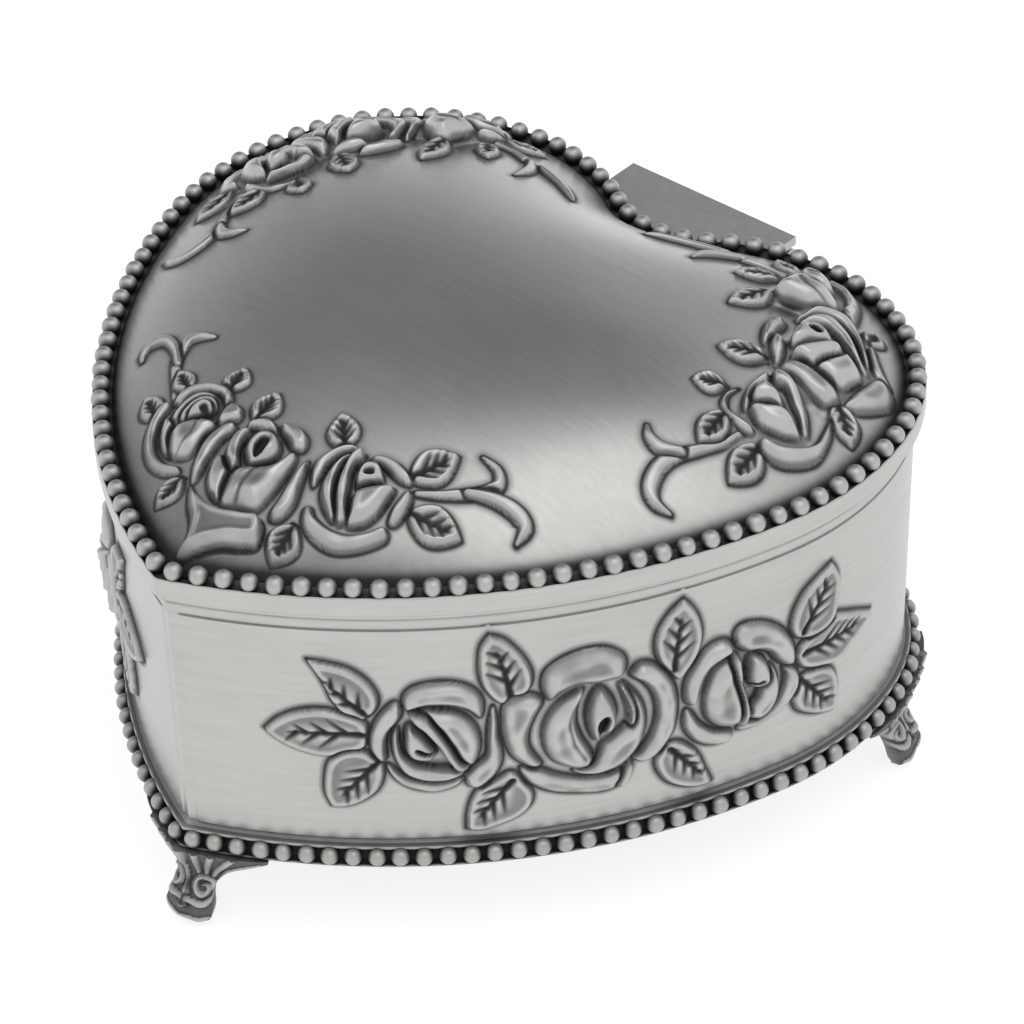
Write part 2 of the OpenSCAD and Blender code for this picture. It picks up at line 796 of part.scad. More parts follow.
// Two-start worm: a waved circle, twisted
module fan_arbor() {
    wave_n = 20;
    color("silver") {
        translate([fan_x, fan_y, bed_top + 0.2]) cylinder(r = fan_arbor_r, h = arm_z[1] - bed_top);
        translate([fan_x, fan_y, gov_z - worm_h / 2])
            linear_extrude(worm_h, twist = -360 * worm_turns, slices = 14 * worm_turns)
            polygon([for (i = [0 : wave_n - 1])
                let (a = 360 * i / wave_n, r = worm_r + worm_wave * cos(worm_starts * a))
                r * [cos(a), sin(a)]]);
    }
}

module air_fan() {
    blade_t = 0.5;
    color("ivory") translate([fan_x, fan_y, fan_z[0]]) difference() {
        union() {
            cylinder(r = 1.2, h = fan_z[1] - fan_z[0]);
            translate([-fan_r, -blade_t / 2, 0]) cube([2 * fan_r, blade_t, fan_z[1] - fan_z[0]]);
        }
        translate([0, 0, -1]) cylinder(r = fan_arbor_r + 0.02, h = 8);
    }
}

// ---- Stop rod that the lid holds down, with a finger beside the fan ----
finger_t = 1.4;
finger_z = fan_z[0] + 0.8;
finger_y = fan_y + fan_r + 0.35;

module stop_rod() {
    low = plate_top + 1.5;
    color("goldenrod") {
        translate([stop_at.x, stop_at.y, low]) cylinder(r = stop_r, h = stop_top - low);
        translate([stop_at.x - finger_t / 2, finger_y, finger_z])
            cube([finger_t, stop_at.y - finger_y, finger_t]);
    }
}

module stop_rod_guide() {
    height = 6;
    color("silver") translate([stop_at.x, stop_at.y, plate_top]) difference() {
        union() {
            cylinder(r = 3.4, h = 1);
            cylinder(r = 2.2, h = height);
        }
        translate([0, 0, -1]) cylinder(r = stop_r + run, h = height + 2);
    }
}

casket_body();
base_rim();
foot_front();
foot_left();
foot_right();
bottom_plate();
bottom_screws();
lid_shell();
lid_lining();
hinge_leaf_body();
hinge_leaf_lid();
hinge_pin();
inner_tray();
tray_lining();
movement_bedplate();
movement_screws();
spring_housing();
housing_screws();
mainspring();
great_wheel();
click_pawl();
click_screw();
ratchet_wheel();
winding_arbor();
winding_key();
cylinder_drum();
cylinder_arbor();
cylinder_pinion();
cylinder_gear();
bearing_post_left();
bearing_post_right();
comb();
comb_base();
comb_screws();
governor_frame();
governor_screws();
governor_arbor();
governor_pinion();
governor_wheel();
fan_arbor();
air_fan();
stop_rod();
stop_rod_guide();
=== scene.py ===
import json
import math

import bmesh
import bpy
import numpy as np
from mathutils import Matrix, Vector


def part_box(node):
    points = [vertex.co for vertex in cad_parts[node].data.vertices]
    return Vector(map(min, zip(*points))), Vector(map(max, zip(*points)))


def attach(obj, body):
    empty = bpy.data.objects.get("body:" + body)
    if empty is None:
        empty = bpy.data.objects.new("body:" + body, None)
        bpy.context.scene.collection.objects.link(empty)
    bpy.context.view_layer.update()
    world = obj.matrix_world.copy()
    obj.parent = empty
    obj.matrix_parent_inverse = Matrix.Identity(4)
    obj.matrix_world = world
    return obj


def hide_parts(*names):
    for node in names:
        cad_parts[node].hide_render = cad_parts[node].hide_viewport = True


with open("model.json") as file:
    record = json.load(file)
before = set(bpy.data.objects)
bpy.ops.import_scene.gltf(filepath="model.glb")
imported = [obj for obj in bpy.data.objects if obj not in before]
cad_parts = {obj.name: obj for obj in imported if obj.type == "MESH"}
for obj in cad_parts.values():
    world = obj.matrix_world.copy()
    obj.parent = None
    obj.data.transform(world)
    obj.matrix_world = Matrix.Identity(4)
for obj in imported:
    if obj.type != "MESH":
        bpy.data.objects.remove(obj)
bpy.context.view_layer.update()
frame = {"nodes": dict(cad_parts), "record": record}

# All lengths are in mm up to the meshes, which are in metres.
MM = 0.001
BOX = {name: np.array(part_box(name)) / MM for name in frame["nodes"]}
rng = np.random.default_rng(7)

# ---------------------------------------------------------------- the heart's outline, in a frame of its own
SIDE_R, LOBE_R, LOBE_X, REAR_R, NOTCH_R, TIP_R = 84.0, 36.5, 13.5, 27.4, 12.6, 0.3
SIDE_T, REAR_T = math.radians(17), math.radians(16)
# centres of the side's, the rear's and the notch's arcs
SC = np.array([LOBE_X - (SIDE_R - LOBE_R) * math.cos(SIDE_T), (SIDE_R - LOBE_R) * math.sin(SIDE_T)])
RC = np.array([LOBE_X - (REAR_R - LOBE_R) * math.cos(REAR_T), -(REAR_R - LOBE_R) * math.sin(REAR_T)])
NC = np.array([0.0, RC[1] + math.sqrt((REAR_R + NOTCH_R) ** 2 - RC[0] ** 2)])
REAR_END = math.atan2(NC[1] - RC[1], NC[0] - RC[0])
NOTCH_END = math.atan2(RC[1] - NC[1], RC[0] - NC[0])
# shares of the side's arc where it gets a point, closer together near the heart's point
SIDE_U = np.concatenate([np.linspace(0, 0.05, 16, endpoint=False), np.linspace(0.05, 1, 76, endpoint=False)])
TIP_STEPS, LOBE_STEPS, REAR_STEPS, NOTCH_STEPS = 5, 24, 56, 14


def tip_of(off):
    """Centre height and radius of the rounded point, for an outline grown by off."""
    r = max(TIP_R + off, 0.2)
    return SC[1] - math.sqrt((SIDE_R + off - r) ** 2 - SC[0] ** 2), r


def side_start(off):
    """Angle at which the side's arc leaves the point."""
    return math.atan2(tip_of(off)[0] - SC[1], -SC[0])


def outline(off, coarse=1):
    """Closed outline grown by off, from the point round by the right side."""
    ty, tr = tip_of(off)
    a0 = side_start(off)
    arcs = [
        ([0.0, ty], tr, np.linspace(-math.pi / 2, a0, TIP_STEPS, endpoint=False)),
        (SC, SIDE_R + off, a0 + (-SIDE_T - a0) * SIDE_U[::coarse]),
        ([LOBE_X, 0.0], LOBE_R + off, np.linspace(-SIDE_T, REAR_T, LOBE_STEPS // coarse, endpoint=False)),
        (RC, REAR_R + off, np.linspace(REAR_T, REAR_END, REAR_STEPS // coarse, endpoint=False)),
        (NC, NOTCH_R - off, np.linspace(NOTCH_END, -math.pi / 2, NOTCH_STEPS // coarse + 2)),
    ]
    half = np.vstack([np.c_[c[0] + r * np.cos(a), c[1] + r * np.sin(a)] for c, r, a in arcs])
    return np.vstack([half, half[::-1][1:-1] * [-1, 1]])


# how far the heart's own frame stands from the model's, along y
RIM_OFF = 1.35
RIM_TIP_Y, RIM_TIP_R = tip_of(RIM_OFF)
HY = BOX["base_rim"][0][1] - (RIM_TIP_Y - RIM_TIP_R)


def even_outline(off, count):
    """Evenly spaced points on the outline, with the outward normal's angle at each."""
    p = outline(off)
    q = np.vstack([p, p[:1]])
    length = np.concatenate([[0], np.cumsum(np.hypot(*np.diff(q, axis=0).T))])

    def at(run):
        return np.interp(run, length, q[:, 0]), np.interp(run, length, q[:, 1])

    run = (np.arange(count) + 0.5) * length[-1] / count
    x, y = at(run)
    ahead_x, ahead_y = at((run + 0.3) % length[-1])
    return np.c_[x, y], np.arctan2(x - ahead_x, ahead_y - y)


# ---------------------------------------------------------------- mesh helpers
def add_mesh(name, verts, faces, body, angle=35, normals=None, attrs=None):
    """A smooth mesh that rides on body. Edges sharper than angle stay sharp, unless normals are given."""
    mesh = bpy.data.meshes.new(name)
    mesh.from_pydata((np.asarray(verts) * MM).tolist(), [], [list(f) for f in faces])
    mesh.validate()
    obj = bpy.data.objects.new(name, mesh)
    bpy.context.scene.collection.objects.link(obj)
    mesh.polygons.foreach_set("use_smooth", [True] * len(mesh.polygons))
    for key, values in (attrs or {}).items():
        layer = mesh.attributes.new(key, "FLOAT", "POINT")
        layer.data.foreach_set("value", np.asarray(values, dtype=np.float32))
    if normals is not None:
        mesh.normals_split_custom_set_from_vertices(np.asarray(normals).tolist())
    elif angle < 180:
        bm = bmesh.new()
        bm.from_mesh(mesh)
        for e in bm.edges:
            if len(e.link_faces) == 2 and e.calc_face_angle(0) > math.radians(angle):
                e.smooth = False
        bm.to_mesh(mesh)
        bm.free()
    mesh.update()
    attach(obj, body)
    return obj


def rings_mesh(rings, closed=True, cap_first=False, cap_last=False):
    """Quads between rings of as many points each. Rings anticlockwise and going up face outwards."""
    n, m = len(rings[0]), len(rings)
    faces = []
    for k in range(m if closed else m - 1):
        a, b = k * n, ((k + 1) % m) * n
        for i in range(n):
            j = (i + 1) % n
            faces.append((a + i, a + j, b + j, b + i))
    if cap_first:
        faces.append(tuple(range(n - 1, -1, -1)))
    if cap_last:
        faces.append(tuple((m - 1) * n + i for i in range(n)))
    return np.vstack(rings), faces


def raised(plan, z):
    """Plan points in the heart's frame as points of the model."""
    return np.c_[plan[:, 0], plan[:, 1] + HY, z + np.zeros(len(plan))]


def ring3(off, z, coarse=1):
    return raised(outline(off, coarse), z)


def rounded(profile, r, closed=True):
    """The same profile of (offset, height) pairs, with each corner cut to a small arc."""
    out = []
    n = len(profile)
    for i, p in enumerate(profile):
        p = np.array(p, float)
        a = np.array(profile[i - 1], float) - p
        b = np.array(profile[(i + 1) % n], float) - p
        la, lb = np.hypot(*a), np.hypot(*b)
        end = not closed and i in (0, n - 1)
        if end or np.dot(a, b) / (la * lb) < -0.94:
            out.append(tuple(p))
            continue
        k = min(r, la * 0.45, lb * 0.45)
        p1, p2 = p + a / la * k, p + b / lb * k
        for t in (0, 0.25, 0.5, 0.75, 1):
            out.append(tuple((1 - t) ** 2 * p1 + 2 * t * (1 - t) * p + t * t * p2))
    return out


def beads(name, off, z, r, count, body):
    """A row of cast beads, no two quite alike."""
    seg, rows = 20, 12
    verts, faces = [], []
    for (x, y), a in zip(*even_outline(off, count)):
        base = len(verts)
        rr = r * rng.uniform(0.965, 1.02)
        jit = rng.uniform(-0.05, 0.05, 3)
        ca, sa = math.cos(a), math.sin(a)
        fat = rng.uniform(0.97, 1.05)
        for k in range(rows + 1):
            ph = math.pi * k / rows
            for i in range(seg if 0 < k < rows else 1):
                th = 2 * math.pi * i / seg
                u = math.sin(ph) * math.cos(th)
                v = math.sin(ph) * math.sin(th) * fat
                w = -math.cos(ph)
                px = x + jit[0] + rr * (u * ca - v * sa)
                py = y + HY + jit[1] + rr * (u * sa + v * ca)
                verts.append((px, py, z + jit[2] * 0.6 + rr * w))
        top_ring = base + 1 + (rows - 2) * seg
        for i in range(seg):
            j = (i + 1) % seg
            faces.append((base, base + 1 + j, base + 1 + i))
            for k in range(1, rows - 1):
                p, q = base + 1 + (k - 1) * seg, base + 1 + k * seg
                faces.append((p + i, p + j, q + j, q + i))
            faces.append((top_ring + i, top_ring + j, top_ring + seg))
    return add_mesh(name, verts, faces, body, 180)


def cylinder(verts, faces, x, y, z0, z1, r, seg=32):
    """Adds a cylinder along z."""
    base = len(verts)
    turns = [2 * math.pi * i / seg for i in range(seg)]
    verts += [(x + r * math.cos(a), y + r * math.sin(a), z) for z in (z0, z1) for a in turns]
    for i in range(seg):
        j = (i + 1) % seg
        faces.append((base + i, base + j, base + seg + j, base + seg + i))
    faces.append(tuple(base + i for i in range(seg - 1, -1, -1)))
    faces.append(tuple(base + seg + i for i in range(seg)))


# ---------------------------------------------------------------- the dome's height
# A skin stretched over an outline. Sources stand round it, with strengths that bring it to zero there.
DOME_OFF, DOME_H = -1.35, 13.1
SOURCE_OFF, SKIN_PRESS = 6.5, 4000
LID_EDGE = BOX["lid_shell"][1][2] - DOME_H
SOURCES = outline(SOURCE_OFF, 2)


def solve_sources():
    """The strength of each source, and a constant."""
    edge = outline(DOME_OFF)
    dist = np.hypot(edge[:, None, 0] - SOURCES[None, :, 0], edge[:, None, 1] - SOURCES[None, :, 1])
    a = np.c_[np.log(dist), np.ones(len(edge))]
    return np.linalg.lstsq(a, (edge ** 2).sum(1) / SKIN_PRESS, rcond=1e-9)[0]


STRENGTH = solve_sources()


def skin(x, y):
    shape = np.shape(x)
    x, y = np.ravel(x), np.ravel(y)
    out = np.empty(len(x))
    batch = 4000
    for i in range(0, len(x), batch):
        s = slice(i, i + batch)
        dist = np.hypot(x[s, None] - SOURCES[None, :, 0], y[s, None] - SOURCES[None, :, 1])
        out[s] = np.log(dist) @ STRENGTH[:-1] + STRENGTH[-1] - (x[s] ** 2 + y[s] ** 2) / SKIN_PRESS
    return out.reshape(shape)


SKIN_TOP = skin(np.zeros(60), np.linspace(-20, -6, 60)).max()


def dome(x, y):
    """Height of the dome above its edge."""
    return DOME_H * (np.clip(skin(x, y), 0, None) / SKIN_TOP) ** 0.85


# ---------------------------------------------------------------- relief: petals, leaves and stems
# Outlines are strings of points: "x,y x,y ...", or "x,y,half-width ..." for a stem.
def points(text):
    return np.array([[float(v) for v in point.split(",")] for point in text.split()])


def spline(pts, closed=True, per=8):
    """Smooth curve through the points. A point given twice is a sharp corner."""
    n = len(pts)
    out = []
    for i in range(n if closed else n - 1):
        four = [(i + k) % n if closed else min(max(i + k, 0), n - 1) for k in (-1, 0, 1, 2)]
        p0, p1, p2, p3 = pts[four]
        if np.allclose(p1, p2):
            continue
        t = np.arange(per)[:, None] / per
        square, cube = 2 * p0 - 5 * p1 + 4 * p2 - p3, 3 * p1 - p0 - 3 * p2 + p3
        out.append(0.5 * (2 * p1 + (p2 - p0) * t + square * t ** 2 + cube * t ** 3))
    if not closed:
        out.append(pts[-1:])
    return np.vstack(out)


def signed_distance(poly, x, y):
    """Distance to a closed polygon, positive inside."""
    best = np.full(x.shape, 1e9)
    inside = np.zeros(x.shape, bool)
    for (ax, ay), (ex, ey) in zip(poly, np.roll(poly, -1, 0) - poly):
        l2 = ex ** 2 + ey ** 2
        if l2 <= 1e-12:
            continue
        px, py = x - ax, y - ay
        t = np.clip((px * ex + py * ey) / l2, 0, 1)
        best = np.minimum(best, (px - t * ex) ** 2 + (py - t * ey) ** 2)
        if ey != 0:
            inside ^= ((ay > y) != (ay + ey > y)) & (x < ex * (y - ay) / ey + ax)
    return np.where(inside, 1, -1) * np.sqrt(best)


def stroke_distance(line, gx, gy):
    """Distance to an open line, and how far along it (0 to 1) the nearest point is."""
    p = line[:, :2]
    best = np.full(gx.shape, 1e9)
    along = np.zeros(gx.shape)
    seg = np.hypot(*np.diff(p, axis=0).T)
    run = np.concatenate([[0], np.cumsum(seg)])
    for k in range(len(p) - 1):
        e = p[k + 1] - p[k]
        t = np.clip(((gx - p[k][0]) * e[0] + (gy - p[k][1]) * e[1]) / max(e @ e, 1e-9), 0, 1)
        dd = (gx - p[k][0] - t * e[0]) ** 2 + (gy - p[k][1] - t * e[1]) ** 2
        near = dd < best
        best = np.where(near, dd, best)
        along = np.where(near, (run[k] + t * seg[k]) / run[-1], along)
    return np.sqrt(best), along


def smooth_step(t):
    t = np.clip(t, 0, 1)
    return t * t * (3 - 2 * t)


def bell(distance, width):
    """1 at no distance, falling to nothing past the width."""
    return np.exp(-((distance / width) ** 2))


def blur(h, sigma):
    r = int(3 * sigma + 1)
    k = np.exp(-0.5 * (np.arange(-r, r + 1) / sigma) ** 2)
    k /= k.sum()
    p = np.pad(h, r, mode="edge")
    for axis in (0, 1):
        p = np.apply_along_axis(lambda v: np.convolve(v, k, mode="valid"), axis, p)
    return p


# from the box towards the photo's camera
VIEW = np.array([0.5285, -0.5901, 0.6103])
# height and radius of the swelling under each rose on the sides of the lid
MOUND_H, MOUND_R = 1.7, 6.0
# petals' and leaves' sides lean out by 1 mm for each DRAFT mm of height, so that no face is upright
DRAFT, DRAFT_REACH = 4.0, 0.6
# blur of the finished heights, in steps of the grid
SOFTEN = 0.8
# height at the edge of a stem or a leaf, width of its rounding, and of the groove round it
STEM_LEVEL, STEM_EDGE = 0.1, 0.75
LEAF_TOP, LEAF_LEVEL, LEAF_EDGE, LEAF_MOAT = 1.0, 0.1, 0.6, 0.45


class Relief:
    """Raised work over a flat sheet (x, y). It is laid down from the lowest piece to the highest."""

    def __init__(self, x0, x1, y0, y1, step):
        self.step = step
        self.x = np.arange(x0, x1 + step / 2, step)
        self.y = np.arange(y0, y1 + step / 2, step)
        self.gx, self.gy = np.meshgrid(self.x, self.y, indexing="ij")
        # height, blackness (patina and painted shade), and distance to the nearest work
        self.h = np.zeros(self.gx.shape)
        self.dark = np.zeros(self.gx.shape)
        self.out = np.full(self.gx.shape, 9.0)
        self.mounds = []
        # the middle of the rose as drawn, and as slid for the last petal that leans on it
        self.heart = (0.0, 0.0)
        self.middle = np.zeros(2)
        self.count = 0

    def mound(self, x, y):
        """Height of the swellings under the roses, above the dome."""
        flat = 1.0
        for cx, cy in self.mounds:
            flat = flat * (1 - np.exp(-(((x - cx) ** 2 + (y - cy) ** 2) / MOUND_R ** 2)))
        return MOUND_H * (1 - flat) * smooth_step((dome(x, y) - 0.6) / 2.2)

    def slide(self, pts, top):
        """Petals are drawn as seen from VIEW, 1 mm above the dome. On a mound each is slid along VIEW to its
        own height, so that it is still seen where it was drawn. Leaves and stems aren't on the mounds."""
        start = np.array(pts, float)
        if not self.mounds:
            return start
        q = start.copy()
        for _ in range(12):
            rise = self.mound(q[:, 0], q[:, 1]) + 0.7 * (top - 1.0)
            q[:, :2] = start[:, :2] + (rise / VIEW[2])[:, None] * VIEW[:2]
        return q

    def window(self, poly, margin):
        lo, hi = poly.min(0) - margin, poly.max(0) + margin
        i0, i1 = np.searchsorted(self.x, [lo[0], hi[0]])
        j0, j1 = np.searchsorted(self.y, [lo[1], hi[1]])
        return slice(max(i0 - 1, 0), i1 + 1), slice(max(j0 - 1, 0), j1 + 1)

    def lay(self, d, w, top, level, edge, moat, shape=0.0, shade=0.0):
        """A rounded pad where d > 0, with a groove round it in whatever lies below."""
        h, dark, out = self.h[w], self.dark[w], self.out[w]
        rise = np.sin(0.5 * math.pi * np.clip(d / (0.9 * edge), 0, 1)) ** 0.9
        new = level + (top - level) * rise + shape * rise
        groove = smooth_step(-d / moat)
        below = h - np.minimum(0.7 * h, 1.1) * (1 - groove)
        cover = smooth_step(d / (1.6 * self.step) + 0.5)
        h[...] = cover * np.maximum(new, 0.05) + (1 - cover) * np.minimum(h, below)
        # painted shade and patina: black along the pad's edge, its own painted shade, and black on the work
        # below just outside its edge, where that lies under the pad
        inside = np.maximum(0.55 * np.exp(-np.maximum(d, 0) / 0.12), shade)
        around = np.maximum(dark, (1 - smooth_step((-d - 0.1) / 0.5)) * smooth_step((h - 0.08) / 0.15))
        dark[...] = cover * inside + (1 - cover) * around
        out[...] = np.minimum(out, np.maximum(-d, 0))

    def petal(self, text, top, lean=0.0, level=0.15, edge=0.9, fold=None, soft=0.75, cup=0.0):
        """top and level are its height in the middle and at its edge. edge and soft say how wide its rounding
        is, in mm and as a share of its breadth. lean raises the side towards the heart, fold is a crease
        line across it, and cup hollows it."""
        poly = spline(self.slide(points(text), top))
        w = self.window(poly, 1.0)
        gx, gy = self.gx[w], self.gy[w]
        d = signed_distance(poly, gx, gy)
        if lean:
            self.middle = self.slide([self.heart], top)[0]
        c = poly.mean(0)
        g = c - self.middle
        g = g / (np.hypot(*g) + 1e-6)
        out = (gx - c[0]) * g[0] + (gy - c[1]) * g[1]
        reach = max(np.abs(out[d > 0]).max(), 0.3)
        # painted shade: a petal is darker at its foot in the rose, where it dives under the next petal, than
        # at its lip
        shade = 0.5 * smooth_step((0.6 - out / reach) / 1.5)
        # hand work is never quite even
        self.count += 1
        a, b = 1.9 * self.count, 2.7 * self.count
        shape = -lean * np.clip(out, -2.5, 2.5)
        shape = shape + 0.05 * np.sin(1.7 * gx + 0.8 * gy + a) + 0.05 * np.sin(1.9 * gy - 1.1 * gx + b)
        shape = shape - cup * smooth_step((d - 0.5) / 1.3)
        if fold:
            dist = stroke_distance(self.slide(points(fold), top), gx, gy)[0]
            shape = shape - 0.32 * bell(dist, 0.28)
        self.lay(d, w, top, level, max(edge, soft * d.max()), 0.5, shape, shade)
        # painted shade and patina along the fold's crease
        if fold:
            dk = self.dark[w]
            dk[...] = np.where(d > 0, np.maximum(dk, 0.6 * bell(dist, 0.2)), dk)

    def hollow(self, text, depth, edge=0.35):
        """The hole in the middle of a rose."""
        poly = spline(self.slide(points(text), 2.0))
        w = self.window(poly, 0.3)
        d = signed_distance(poly, self.gx[w], self.gy[w])
        h, dark = self.h[w], self.dark[w]
        h[...] = np.maximum(h - depth * smooth_step(d / edge) * (h > 0.3), 0.1)
        # painted shade and patina in the hole
        dark[...] = np.maximum(dark, smooth_step((d + 0.12) / 0.3))

    def stem(self, text, top=0.9, moat=0.5):
        """A ridge along a line, with its own half-width at each point."""
        p = spline(points(text), closed=False, per=6)
        w = self.window(p[:, :2], 1.8)
        dist, along = stroke_distance(p, self.gx[w], self.gy[w])
        run = np.concatenate([[0], np.cumsum(np.hypot(*np.diff(p[:, :2], axis=0).T))])
        width = np.interp(along, run / run[-1], p[:, 2])
        self.lay(width - dist, w, top, STEM_LEVEL, STEM_EDGE, moat)

    def leaf(self, text, width, vein, bend=0.0, pairs=3, full=0.5):
        """text is its outline from the tip round, or None for a plain leaf, widest at full of its length.
        vein holds the ends of the midrib, tip first. pairs of side veins leave it."""
        tip, base = points(vein)
        axis = tip - base
        ax = axis / np.hypot(*axis)
        nx = np.array([-ax[1], ax[0]])
        u = np.linspace(0, 1, 22)
        mid = base + u[:, None] * axis + (np.sin(math.pi * u) * bend)[:, None] * nx
        if text:
            pts = points(text)
            poly = spline(np.vstack([pts[:1], pts]))
        else:
            wide = 0.5 * width * np.sin(math.pi * u ** (math.log(0.5) / math.log(full))) ** 0.85
            wide[0] = 0.12 * width
            poly = np.vstack([mid + wide[:, None] * nx, (mid - wide[:, None] * nx)[::-1]])
        w = self.window(poly, 1.0)
        gx, gy = self.gx[w], self.gy[w]
        d = signed_distance(poly, gx, gy)
        veins = [(mid[1:17], 0.36, 0.5)]
        for k in range(pairs):
            far = k / (pairs - 1)
            reach = 0.43 * width * (1 - 0.42 * far)
            for side in (1, -1):
                # the veins leave the midrib in turn, first one side and then the other
                f = 0.24 + 0.4 * far + 0.045 * side
                start = base + f * axis + math.sin(math.pi * f) * bend * nx
                end = start + reach * (0.85 * ax + side * 0.8 * nx)
                veins.append((np.array([start, (start + end) / 2, end]), 0.32, 0.42))
        cut = np.zeros(d.shape)
        for line, r, depth in veins:
            dist, along = stroke_distance(line, gx, gy)
            cut = np.maximum(cut, depth * (1 - 0.35 * along) * bell(dist, r * (1.2 - 0.8 * along)))
        # raised rim, hollow middle
        dish = -0.3 * smooth_step((d - 0.35) / 0.9)
        self.lay(d, w, LEAF_TOP, LEAF_LEVEL, LEAF_EDGE, LEAF_MOAT, dish - cut)
        # painted shade and patina in the cut veins
        dk = self.dark[w]
        dk[...] = np.where(d > 0.1, np.maximum(dk, np.clip(2.5 * cut, 0, 0.95)), dk)

    def heights(self):
        """The finished heights, on their mounds, with sides that lean and softened corners."""
        h = self.h.copy()
        if self.mounds:
            solid = blur((h > 0.25).astype(float), 1.3 / self.step)
            h = h + self.mound(self.gx, self.gy) * smooth_step((solid - 0.42) / 0.35)
        for _ in range(int(DRAFT_REACH / self.step)):
            for axis in (0, 1):
                for way in (1, -1):
                    h = np.maximum(h, np.roll(h, way, axis) - DRAFT * self.step)
        return blur(h, SOFTEN)

    def blackness(self, h, keep, work_darkening, extra):
        """Black against the work, on the sheet round it, and in every hollow, partly patina and partly
        painted shade. Lips are rubbed clean, partly wear and partly a painted highlight; all the work is
        darkened evenly by a given amount, and extra is painted shade that lies on the sheet already."""
        dark = np.clip(blur(self.dark, 0.6), 0, 1)
        # painted shade and patina on the sheet round the work's foot
        shade_round_work = 0.75 * bell(self.out, 0.22) + 0.3 * bell(self.out, 0.7)
        shade_round_work = shade_round_work * smooth_step((keep - self.out) / 0.6) * (1 - smooth_step((h - 0.02) / 0.3))
        dark = np.maximum(dark, shade_round_work)
        hollow = blur(h, 0.35 / self.step) - h
        dark = np.maximum(dark, np.clip(4.2 * hollow - 0.1, 0, 0.95) * np.exp(-self.out / 0.2))
        # rubbed lips: wear, and a painted highlight
        lip = np.clip(h - blur(h, 0.5 / self.step), 0, 0.4)
        dark = np.maximum(dark, work_darkening * smooth_step(h / 0.4))
        dark = blur(np.clip(dark - 2.4 * lip, 0, 1), 0.4)
        return np.maximum(dark, extra * (1 - 0.7 * smooth_step(h / 1.2)))

    def build(self, name, body, place, keep, work_darkening, extra=0.0, flip=False):
        """The work and the sheet up to keep round it, as a mesh. place(x, y, h) gives the model's points."""
        h = self.heights()
        dark = self.blackness(h, keep, work_darkening, extra)
        near = self.out < keep
        use = near[:-1, :-1] | near[1:, :-1] | near[:-1, 1:] | near[1:, 1:]
        # the sheet's border dips under the surface that it lies on, and keeps that surface's normals
        on = place(self.gx, self.gy, h)
        nrm = np.cross(np.gradient(on, axis=0), np.gradient(on, axis=1))
        nrm /= np.linalg.norm(nrm, axis=2, keepdims=True)
        pts = place(self.gx, self.gy, h + 0.02 - 0.06 * smooth_step((self.out - keep + 0.7) / 0.7))
        low = place(self.gx, self.gy, np.full(h.shape, -0.3))
        ids = np.arange(h.size).reshape(h.shape)
        quads = np.c_[ids[:-1, :-1][use], ids[1:, :-1][use], ids[1:, 1:][use], ids[:-1, 1:][use]]
        # skirt round the sheet, turned down into the metal below: each side's way out, and its corners
        pad = np.pad(use, 1)
        skirt = []
        for di, dj, p, q in ((-1, 0, (0, 1), (0, 0)), (1, 0, (1, 0), (1, 1)),
                             (0, -1, (0, 0), (1, 0)), (0, 1, (1, 1), (0, 1))):
            lone = use & ~pad[1 + di:1 + di + use.shape[0], 1 + dj:1 + dj + use.shape[1]]
            i, j = np.nonzero(lone)
            skirt.append(np.c_[ids[i + p[0], j + p[1]], ids[i + q[0], j + q[1]]])
        skirt = np.vstack(skirt)
        used, rim = np.unique(quads), np.unique(skirt)
        both = np.concatenate([used, rim])
        verts = np.vstack([pts.reshape(-1, 3)[used], low.reshape(-1, 3)[rim]])
        normals = nrm.reshape(-1, 3)[both]
        hems = np.c_[np.searchsorted(used, skirt[:, ::-1]), len(used) + np.searchsorted(rim, skirt)]
        faces = np.vstack([np.searchsorted(used, quads), hems])
        if flip:
            faces = faces[:, ::-1]
            normals = -normals
        # the painted shade and patina go to the finish as a point attribute
        attrs = {"painted_shade_and_patina": dark.ravel()[both], "worked": smooth_step(h.ravel() / 0.3)[both]}
        return add_mesh(name, verts, faces.tolist(), body, 180, normals, attrs)


